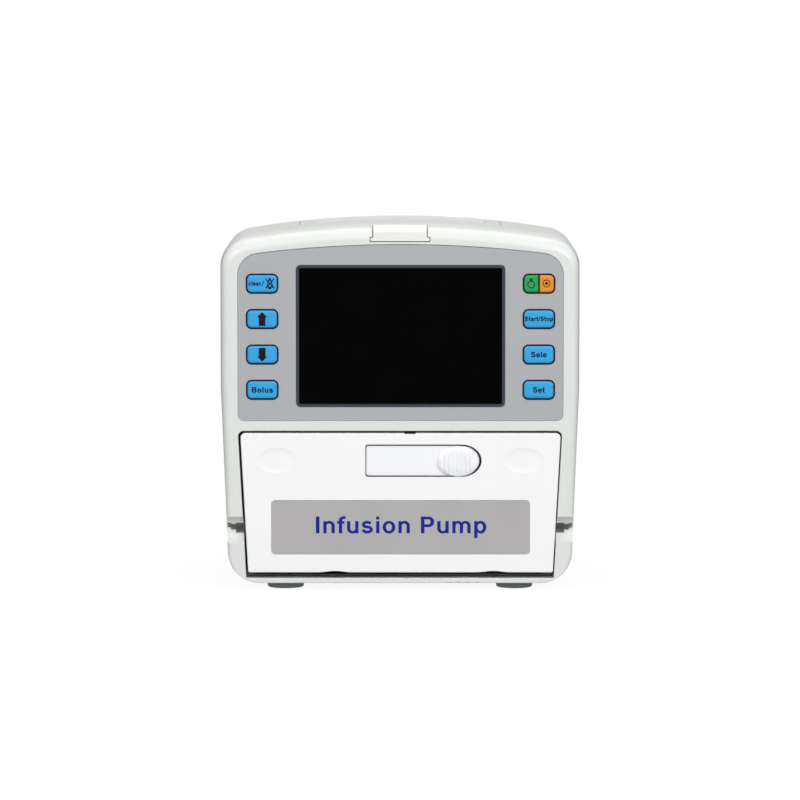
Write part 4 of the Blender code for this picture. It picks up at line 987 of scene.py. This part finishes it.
door = pillow(door_outline, DOOR_FACE, 8.0, 0.75)
cut(door, prism(door_outline(2.2), DOOR_FACE + SKIN, 9))
for x in HINGE_X:
    # shallow relief arc in the bottom edge, one under each hinge
    relief = []
    for k in range(-12, 13):
        rise = RELIEF_RISE * math.cos(math.pi / 2 * k / 12) ** 1.4
        relief.append((x + RELIEF_HALF * k / 12, 9.0 if k in (-12, 12) else DOOR_BOTTOM + rise))
    cut(door, prism([(x - RELIEF_HALF, 8.0), (x + RELIEF_HALF, 8.0)] + relief[::-1], -2, 9))
    cut(door, box(x - 4.8, x + 4.8, DOOR_FACE + SKIN, 9, 8, 20))
    for side in (-1, 1):
        a, b = sorted((x + side * 4.7, x + side * 10.2))
        knuckle = pillow(knuckle_outline, a, b, 0.3, 0.3, 3, "X")
        cut(knuckle, rod(PIN_HOLE_R, a - 1, b + 1, HINGE_Y, HINGE_Z, 32, "X"))
        add(door, knuckle)
# notch in the top edge, latch opening and its pocket, label recess, two dimples
cut(door, prism(rectangle(2.3, 8.9, 87.35, 89.5, 0.4, 4), -2, 9))
cut(door, flare(lambda i: latch_outline(*LATCH_OPENING, i), DOOR_FACE, 3, 0.12, 3))
cut(door, box(LATCH_X0 - 14.2, LATCH_X0 + 1, 0.2, 3, LATCH_Z - LATCH_HALF, LATCH_Z + LATCH_HALF))
cut(door, flare(inset_rect(*spread(LABEL, 0.2), 2.2), DOOR_FACE, 0.0, 0.12, 3))
for side in (-1, 1):
    cut(door, dimple(DOOR_X + side * 68.8, 72.7, 11.3, 7.3, 0.46))
done(door, "door_panel", "door", "door", "door_shell")

label = pillow(inset_rect(*LABEL, 2.0, 0.5), -0.46, 0.05, 0.06, steps=2)
done(label, "name_label", "door", "label", "name_plate")
words = text("Infusion Pump", 13.1, DOOR_X + 0.1, 31.85, -0.53, track=22, stretch=1.02)
done(words, "label_words", "door", "label_ink", weighted=False)

# ---- latch ------------------------------------------------------------------------------
plate = pillow(lambda i: latch_outline(LATCH_X0 + 0.30, LATCH_X1 - 1.1, LATCH_HALF - 0.62,
                                       LATCH_END_RX - 0.6, 1.3, i), 0.32, 3.0, 0.12, steps=4)
# flange behind the door skin, then the hook's stem and nose
add(plate, box(-17, 58, 2.5, 3.8, LATCH_Z - 11.2, LATCH_Z + 11.2),
    box(8, 12, 3.5, 21.4, 70, 75, 0.4), box(11.5, 16.5, 18.9, 21.4, 70, 75, 0.4))
done(plate, "latch_plate", "latch", "latch", "latch_slider")

GRIP_X, GRIP_Z, GRIP_RX, GRIP_RZ = 32.4, LATCH_Z - 0.42, 11.6, 8.55
GRIP_Y = 0.35       # depth the grip's height is counted from
RIB_PITCH, RIB_HALF = 2.3, 0.66


def grip_height(x, z):
    """Height of the thumb grip above the plate, at x, z from its middle."""
    s = min(1.0, math.sqrt((x / GRIP_RX) ** 2 + (z / GRIP_RZ) ** 2))
    edge = max(0.0, (s - 0.80) / 0.20)
    return 2.3 - 0.3 * s * s - 1.6 * (1 - math.sqrt(max(0.0, 1 - edge * edge)))


def grip_rib(x):
    """Upright rib across the grip, at x from its middle, with tapered ends."""
    reach = 6.5 * math.sqrt(1 - (x / 11.0) ** 2)
    rings = []
    for j in range(33):
        t = -1 + 2 * j / 32
        end = math.sqrt(max(0.0004, 1 - abs(t) ** 9))
        z = t * reach - 0.1
        ring = []
        for m in range(13):
            a = math.pi * m / 12
            w = RIB_HALF * math.cos(a) * end
            ring.append((GRIP_X + x + w,
                         GRIP_Y - grip_height(x + w, z) + 0.12 - 0.98 * math.sin(a) * end,
                         GRIP_Z + z))
        for side in (-1, 1):
            ring.append((GRIP_X + x + side * RIB_HALF * end,
                         1.0 - grip_height(x, z) + 0.3, GRIP_Z + z))
        rings.append(ring)
    return loft(rings)


rings = [laid(ellipse(GRIP_X, GRIP_Z, GRIP_RX, GRIP_RZ, 144), 1.2)]
for k in range(41):
    s = 1 - (k / 40.4) ** 1.5
    rings.append([(GRIP_X + x, GRIP_Y - grip_height(x, z), GRIP_Z + z)
                  for x, z in ellipse(0, 0, GRIP_RX * s, GRIP_RZ * s, 144)])
grip = merge([loft(rings), *[grip_rib(k * RIB_PITCH - 0.2) for k in range(-3, 4)]])
done(grip, "latch_grip", "latch", "latch", weighted=False, smooth=50)
# black ring set into the gap round the latch plate: painted shade, so the gap reads darker than its
# shallow depth makes it
gap_shade_ring = prism(latch_outline(*LATCH_OPENING, -0.05), -0.12, 0.18,
             [latch_outline(LATCH_X0 + 0.40, LATCH_X1 - 1.15, LATCH_HALF - 0.60,
                            LATCH_END_RX - 0.58, 1.2)])
done(gap_shade_ring, "latch_gap_painted_shade", "door", "black")

# ---- feet ---------------------------------------------------------------------------------
for place in ("front_left", "front_right", "rear_left", "rear_right"):
    a, b = corners("foot_" + place)
    r, top = (b.x - a.x) / 2 + 0.4, b.z
    # hollow middle, rounded tread edge, groove below the top
    profile = [(0.01, 0.55), (3.4, 0.55), (3.9, 0.35), (4.3, 0.05), (4.6, 0.0)]
    profile += [(r - 0.5 - 0.8 * run, 0.8 * rise) for rise, run in quarter(6)]
    profile += [(r - 0.1, 3.3), (r, 3.6), (r - 0.05, top), (0.01, top)]
    foot = turned(profile, (a.x + b.x) / 2, (a.y + b.y) / 2, axis="Z")
    done(foot, "rubber_foot_" + place, "housing", "rubber", "foot_" + place)

# ---- carry handle ---------------------------------------------------------------------------
RISE = 0.9      # how far the grip's middle stands above the housing's arch
top = [(x, crown(x, TOP_Z + RISE, TOP_ARC_R)) for x in range(57, -58, -3)]
low = [(x, z - 9.0) for x, z in reversed(top)]
handle = prism(top + low, HANDLE_Y0, HANDLE_Y1)
# only the rear edge rises above the arch, and smoothly towards the middle
for v in handle.data.vertices:
    x, z = abs(v.co.x) / MM, v.co.z / MM
    if z > crown(x, TOP_Z, TOP_ARC_R):
        t = max(0.0, min(1.0, (38.0 - x) / 22.0))
        t = t * t * (3 - 2 * t) if v.co.y / MM - FRONT_Y > HANDLE_Y0 + 5 else 0.0
        v.co.z += (RISE * t - RISE) * MM
cut(handle, prism(rectangle(-49.5, 49.5, HANDLE_Y0 + HANDLE_GRIP, HANDLE_Y1 + 10, 5.0),
                  180, 220, axis="Z"))
soften(handle, 0.9, 4)
for side in (-1, 1):
    add(handle, rod(2.0, *mirrored(side, 56.0, 61.0), PIVOT_Y, PIVOT_Z, 32, "X"))
done(handle, "carry_grip", "handle", "housing_trim", "carry_handle")


# ---- rear fittings ----------------------------------------------------------------------------
def cut_cross(head, x, z, narrow, wide, levels):
    """Cross recess in a screw head; levels are (depth, share of the full size)."""
    for u, v in ((narrow, wide), (wide, narrow)):
        cut(head, loft([laid(bar(x - u * f, z - v * f, x + u * f, z + v * f), a)
                        for a, f in levels]))
    return head


lid = pillow(inset_rect(*spread(BATTERY_OPENING, -GAP), 1.8, 0.4), DEPTH, 107.0, 0.5, steps=4)
cut(lid, flare(inset_rect(-56, -42, 44, 48, 1.9), DEPTH, 108.6, 0.4, 4))
for k in range(5):
    add(lid, pillow(inset_rect(-60, -38, 20.5 + 4 * k, 22.0 + 4 * k, 0.7, 0.2, 5),
                    DEPTH + 0.6, 109.0, 0.3, steps=3))
done(lid, "battery_lid", "housing", "housing_trim", "battery_cover")

SCREW_PROFILE = [(0.01, 97), (1.4, 97), (1.5, 97.4), (1.5, 107.2), (2.9, 107.2),
                 (2.9, 108.3), (2.6, 108.8), (1.9, 109.1), (0.01, 109.2)]   # radius, depth
for k, (x, z) in enumerate(REAR_SCREWS):
    screw = cut_cross(turned(SCREW_PROFILE, x, z, 40), x, z, 0.35, 1.7,
                      ((110.0, 1.15), (109.1, 1.0), (107.9, 0.55)))
    done(screw, f"cross_screw_{k + 1}", "housing", "steel", f"casing_screw_{k + 1}")

inlet = pillow(inset_rect(*MAINS_SOCKET, 0.6, 0.6, 5), 110.6, 88, 0.4, steps=3)
cut(inlet, prism(rounded([(51, 21, 1.2), (73, 21, 1.2), (73, 31, 1.2), (69, 35, 0.8),
                          (55, 35, 0.8), (51, 31, 1.2)], 5), 96, 112))
done(inlet, "mains_socket", "housing", "black", "mains_inlet")
pins = [box(x - 1.0, x + 1.0, 95.5, 106.5, z - 2.0, z + 2.0, 0.4)
        for x, z in ((56, 26.5), (62, 30.5), (68, 26.5))]
done(merge(pins), "mains_pins", "housing", "brass")

port = pillow(inset_rect(*SERIAL_PORT, 0.6, 0.6, 5), 110.4, 98, 0.3, steps=3)
cut(port, prism(rounded([(17.5, 24.2, 1.2), (32.5, 24.2, 1.2), (33.3, 31.8, 1.2),
                         (16.7, 31.8, 1.2)], 5), 105, 112))
done(port, "serial_port", "housing", "black", "data_port")
contacts = []
for z, count in ((29.6, 5), (26.6, 4)):
    for k in range(count):
        x = 25 + (k - (count - 1) / 2) * 2.7
        contacts.append(turned([(0.01, 104.5), (0.5, 104.5), (0.5, 108.4), (0.3, 108.9),
                                (0.01, 109.0)], x, z, 16))
done(merge(contacts), "port_contacts", "housing", "brass")

cloth = pillow(lambda i: ellipse(-60, 142, 14.6 - i, 14.6 - i), 106.2, 106.8, 0.1, 0.1, 2)
done(cloth, "speaker_cloth", "housing", "grille")

# ---- pole clamp ---------------------------------------------------------------------------------
# bracket seen from above: (x, depth, radius)
bracket = prism(rounded([
    (-36, DEPTH + GAP, 2), (36, DEPTH + GAP, 2), (36, 116.5, 2), (34, 118.5, 1), (34, 150, 3),
    (26, 150, 3), (26, 116.3, 3), (-25, 116.3, 3), (-25, 125, 1), (-29.5, 132, 1), (-25, 139, 1),
    (-25, 150, 3), (-34, 150, 3), (-34, 118.5, 1), (-36, 116.5, 2)], 8),
    CLAMP_Z0, CLAMP_Z1, axis="Z")
cut(bracket, rod(5.3, 24, 36, CLAMP_Y, CLAMP_Z, 48, "X"))
soften(bracket, 0.8)
done(bracket, "clamp_body", "housing", "cast", "clamp_bracket")

jaw = prism(rounded([
    (23.5, 121, 1.5), (23.5, 143, 1.5), (14.5, 143, 1.5), (14.5, 138, 0.6), (18, 132, 0.6),
    (14.5, 126, 0.6), (14.5, 121, 1.5)], 6), CLAMP_Z - 14, CLAMP_Z + 14, axis="Z")
for k in range(6):
    # grip grooves across the jaw's face
    z = CLAMP_Z - 10 + 4 * k
    cut(jaw, box(13.9, 15.0, 120, 144, z - 0.5, z + 0.5))
cut(jaw, rod(3.5, 20.2, 25, CLAMP_Y, CLAMP_Z, 32, "X"))
soften(jaw, 0.35, 2, 50)
done(jaw, "jaw_pad", "jaw", "black_rubber", "clamp_jaw")

# threaded rod: trapezoid thread swept as one skin of rings
THREAD_X, THREAD_PITCH, THREAD_R, THREAD_DEEP = 24.6, 3.0, 4.78, 0.85
RING_POINTS, RINGS_PER_TURN = 48, 16


def rod_ring(r, x):
    return laid(ellipse(CLAMP_Y, CLAMP_Z, r, r, RING_POINTS), x, "X")


rings = [rod_ring(r, x) for r, x in ((0.05, 20.6), (2.7, 20.6), (3.1, 21.0), (3.1, 24.4))]
x = THREAD_X
while x < 61.0:
    ring = []
    for k in range(RING_POINTS):
        a = math.tau * k / RING_POINTS
        phase = ((x - THREAD_X) / THREAD_PITCH + k / RING_POINTS) % 1.0
        wave = min(1.0, max(0.0, abs(phase - 0.5) * 4 - 0.6))
        fade = min(1.0, x - THREAD_X, 61.2 - x)
        r = THREAD_R - THREAD_DEEP * (1 - wave) * max(0.0, fade)
        ring.append((x, CLAMP_Y + r * math.cos(a), CLAMP_Z + r * math.sin(a)))
    rings.append(ring)
    x += THREAD_PITCH / RINGS_PER_TURN
rings.append(rod_ring(4.7, 61.8))
done(loft(rings), "threaded_rod", "screw", "steel", "clamp_screw",
     smooth=50, weighted=False)


def knob_outline(inset):
    """Six-lobed handwheel."""
    out = []
    for k in range(144):
        a = math.tau * k / 144
        r = 15.6 + 1.5 * math.cos(6 * a) - inset
        out.append((CLAMP_Y + r * math.cos(a), CLAMP_Z + r * math.sin(a)))
    return out


knob = pillow(knob_outline, 60.0, 78.0, 2.0, 3.0, axis="X")
cut(knob, rod(5.1, 58, 64, CLAMP_Y, CLAMP_Z, 40, "X"))
cut(knob, turned([(9.5, 80), (9.2, 77.6), (8.4, 76.9), (0.01, 76.8)], CLAMP_Y, CLAMP_Z, 64, "X"))
done(knob, "clamp_handwheel", "screw", "black", "clamp_knob")


# ---- pump head -------------------------------------------------------------------------------------
def pan_heads(spots, y_seat, way, radius, rise):
    """Pan-head screws with a cross recess, seated at y_seat, standing out by way * rise."""
    heads = []
    profile = [(0.01, -0.3), (radius, -0.3), (radius, rise * 0.45), (radius * 0.9, rise * 0.78),
               (radius * 0.64, rise * 0.95), (0.01, rise)]
    levels = [(y_seat + way * a, f) for a, f in ((rise + 0.6, 1.15), (rise, 1.0),
                                                 (rise * 0.35, 0.55))]
    for x, z in spots:
        head = turned([(r, y_seat + way * a) for r, a in profile], x, z, 40)
        heads.append(cut_cross(head, x, z, 0.3, radius * 0.58, levels))
    return merge(heads)


bolts = pan_heads(((-14, 72.5), (14, 72.5), (-14, 99.5), (14, 99.5)), 116.3, 1, 3.2, 1.7)
done(bolts, "clamp_bolts", "housing", "steel")

# moulded stiffening frame over the upper part of the head, clear of the latch window
HEAD_BACK = PLATE_Y + 0.1       # pieces on the head sink slightly into it
BAYS = [(-82, -46.7, 49, 84), (-45.3, -14.7, 49, 84), (23.3, 45.3, 49, 84), (46.7, 82, 49, 84),
        (-13.3, 21.9, 49, 66.3), (-13.3, 21.9, 67.7, 84)]       # x0, x1, z0, z1
ribs = pillow(inset_rect(-83.5, 83.5, 47.5, 85.5, 3.0, 0.3), PLATE_Y - 1.2, HEAD_BACK, 0.35,
              steps=3)
for bay in BAYS:
    cut(ribs, prism(rectangle(*bay, 2.0), PLATE_Y - 3, PLATE_Y + 3))
done(ribs, "head_frame_ribs", "housing", "chassis")

# channel that carries the tubing past the sensors and the fingers
rails = []
for a, b in ((-83.2, -55.6), (-44.4, -28.6), (28.6, 48.9), (61.1, 83.2)):
    for side in (-1, 1):
        z0, z1 = sorted((TUBE_Z + side * 2.7, TUBE_Z + side * 4.5))
        rails.append(pillow(inset_rect(a, b, z0, z1, 0.8, 0.15, 5), PLATE_Y - 2.7, HEAD_BACK,
                            0.5, steps=3))
done(merge(rails), "tube_channel_rails", "housing", "guide")

BEZEL_Y = PLATE_Y - 0.7
bezel = pillow(inset_rect(-24, 24, 26.6, 42.4, 2.0, 0.3), BEZEL_Y, HEAD_BACK, 0.25, steps=3)
cut(bezel, flare(inset_rect(-20.6, 20.6, 29.6, 39.4, 0.6), BEZEL_Y, PLATE_Y + 2, 0.2, 3))
done(bezel, "finger_bezel", "housing", "brushed")
screws = pan_heads(((-77, 78.5), (77, 78.5), (-77, 54.5), (77, 54.5), (-66, 20.5), (76, 20.5),
                    (7, 20.5), (7, 44.6)), PLATE_Y, -1, 2.2, 1.3)
done(screws, "head_screws", "housing", "steel")
flow = [(-75.5, 42.0), (-68.5, 42.0), (-68.5, 40.9), (-65.3, 43.0), (-68.5, 45.1),
        (-68.5, 44.0), (-75.5, 44.0)]
done(prism(flow, PLATE_Y - 0.25, HEAD_BACK), "flow_arrow", "housing", "acetal")

# ---- inner side of the door ------------------------------------------------------------
# sealing rope, screws and four pads in line with the tube channel
GASKET_BOTTOM = 15.0
gasket = pillow(lambda i: door_outline(4.4 + i, GASKET_BOTTOM), 10.4, 11.4, 0.0, 0.45, 3)
cut(gasket, prism(door_outline(6.2, GASKET_BOTTOM), 9, 13))
done(gasket, "door_gasket", "door", "black_rubber")
screws = pan_heads(((-74, 79), (74.6, 79), (-72, 26), (72.6, 26), (-36, 52), (36.6, 52)),
                   10.5, 1, 2.1, 1.1)
done(screws, "door_screws", "door", "steel")
pads = [pillow(inset_rect(x, x + 9, TUBE_Z - 2.1, TUBE_Z + 2.1, 1.6, 0.2), 10.4, 11.2, 0.0,
               0.4, 4) for x in (-66, -40.5, 34, 66)]
done(merge(pads), "tube_pads", "door", "black_rubber")

# ---- carried-over nodes get rounded edges and their finish -----------------------------
CARRIED = {
    "chassis": ["pump_chassis"],
    "brushed": ["door_inner_plate", "pressure_platen", "motor_bracket"],
    "steel": ["platen_spring", "pressure_sensor", "camshaft", "motor_pulley", "cam_bearing_left",
              "cam_bearing_right", "hinge_pin_left", "hinge_pin_right"],
    "black": ["air_sensor", "lcd_module", "speaker"],
    "cast": ["cam_pulley", "drive_motor"],
    "belt": ["drive_belt"],
    "board": ["main_board", "key_board"],
    "battery": ["battery_pack"],
    "acetal": [f"pump_finger_{k + 1}" for k in range(FINGERS)],
}
for finish, names in CARRIED.items():
    for name in names:
        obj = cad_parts[name]
        obj.data.materials.clear()
        obj.data.materials.append(FINISHES[finish])
        obj.modifiers.new("Weld", "WELD").merge_threshold = 1e-6
        configure(obj.modifiers.new("Bevel", "BEVEL"), width=0.2 * MM, segments=2,
                  limit_method="ANGLE", angle_limit=math.radians(40), use_clamp_overlap=True)

# ---- floor: paper near the pump that fades to plain white (metres) ----------------------
FLOOR_HALF, FADE_UNIT = 12.0, 0.150
floor_mesh = bpy.data.meshes.new("floor")
bm = bmesh.new()
bmesh.ops.create_grid(bm, x_segments=2, y_segments=2, size=FLOOR_HALF)
bm.to_mesh(floor_mesh)
bm.free()
floor = as_object(floor_mesh, "floor")
paper = bpy.data.materials.new("floor_paper")
paper.use_nodes = True
tree = paper.node_tree
matt = wire(tree.nodes["Principled BSDF"], {
    "Base Color": (0.96, 0.96, 0.96, 1.0), "Roughness": 0.9, "Specular IOR Level": 0.0})
glow = shader_node(tree, "Emission", {"Color": (1, 1, 1, 1), "Strength": 1.0})
where = shader_node(tree, "TexCoord")
scaled = shader_node(tree, "VectorMath", {
    0: where.outputs["Object"], 1: (1 / FADE_UNIT, 1 / FADE_UNIT, 0.0)}, operation="MULTIPLY")
length = shader_node(tree, "VectorMath", {0: scaled.outputs["Vector"]}, operation="LENGTH")
fade = shader_node(tree, "MapRange", {
    "From Min": 0.55, "From Max": 1.15, "To Min": 0.90, "To Max": 1.0,
    "Value": length.outputs["Value"]}, interpolation_type="SMOOTHSTEP")
blend = shader_node(tree, "MixShader", {
    "Fac": fade.outputs["Result"], 1: matt.outputs["BSDF"], 2: glow.outputs["Emission"]})
wire(tree.nodes["Material Output"], {"Surface": blend.outputs["Shader"]})
floor_mesh.materials.append(paper)
configure(floor, visible_glossy=False, visible_diffuse=False)

# ---- world: soft fill, a graded sky for reflections, white for the camera ----------------
FILL_FRONT, FILL_BACK = 0.63, 0.50
SKY_LOW, SKY_HIGH = 0.02, 1.05
world = bpy.data.worlds.new("studio")
bpy.context.scene.world = world
world.use_nodes = True
tree = world.node_tree
tree.nodes.clear()
output = shader_node(tree, "OutputWorld")
split = shader_node(tree, "SeparateXYZ", {
    "Vector": shader_node(tree, "TexCoord").outputs["Generated"]})


def gradient(axis, start, end, low, high):
    return shader_node(tree, "MapRange", {
        "From Min": start, "From Max": end, "To Min": low, "To Max": high,
        "Value": split.outputs[axis]}, interpolation_type="SMOOTHSTEP").outputs["Result"]


def background(strength):
    return shader_node(tree, "Background", {
        "Color": (1, 1, 1, 1), "Strength": strength}).outputs["Background"]


diffuse = background(gradient("Y", start=-0.3, end=0.5, low=FILL_FRONT, high=FILL_BACK))
glossy = background(gradient("Z", start=-0.02, end=0.55, low=SKY_LOW, high=SKY_HIGH))
camera_white = background(1.0)
path = shader_node(tree, "LightPath")
mix_gloss = shader_node(tree, "MixShader", {
    "Fac": path.outputs["Is Glossy Ray"], 1: diffuse, 2: glossy})
mix_camera = shader_node(tree, "MixShader", {
    "Fac": path.outputs["Is Camera Ray"], 1: mix_gloss.outputs["Shader"], 2: camera_white})
wire(output, {"Surface": mix_camera.outputs["Shader"]})

# ---- lights and camera (metres) ----------------------------------------------------------
TARGET = Vector((0.0, FRONT_Y * MM, 0.1065))
LIGHT_DISTANCE, CAMERA_DISTANCE = 2.2, 2.5
CAMERA_TILT = math.radians(5.2)


def softbox(name, azimuth, elevation, size, share):
    """Square light aimed at the target; azimuth is counted from the front to the right.
    share is the brightness it gives a white face turned to it."""
    light = configure(bpy.data.lights.new(name, "AREA"), shape="SQUARE", size=size,
                      energy=share * math.pi ** 2 * LIGHT_DISTANCE ** 2)
    a, e = math.radians(azimuth), math.radians(elevation)
    away = Vector((math.sin(a) * math.cos(e), -math.cos(a) * math.cos(e), math.sin(e)))
    return configure(as_object(light, name), location=TARGET + away * LIGHT_DISTANCE,
                     rotation_euler=away.to_track_quat("Z", "Y").to_euler())


softbox("key_right", azimuth=30, elevation=34, size=1.1, share=0.44)
softbox("key_left", azimuth=-36, elevation=34, size=1.1, share=0.26)
softbox("top_back", azimuth=180, elevation=66, size=1.2, share=0.17)
for name, azimuth in (("glint_right", 44), ("glint_left", -44)):
    glint = softbox(name, azimuth, elevation=40, size=0.45, share=0.14)
    glint.visible_diffuse = False

lens_data = configure(bpy.data.cameras.new("camera"), lens=202.0, sensor_width=36.0,
                      clip_end=50.0)
away = Vector((0, -math.cos(CAMERA_TILT), math.sin(CAMERA_TILT)))
camera = configure(as_object(lens_data, "camera"), location=TARGET + away * CAMERA_DISTANCE,
                   rotation_euler=(math.pi / 2 - CAMERA_TILT, 0, 0))
bpy.context.scene.camera = camera
configure(bpy.context.scene.view_settings, view_transform="Standard", look="None",
          exposure=0.0, gamma=1.0)

bpy.context.view_layer.update()
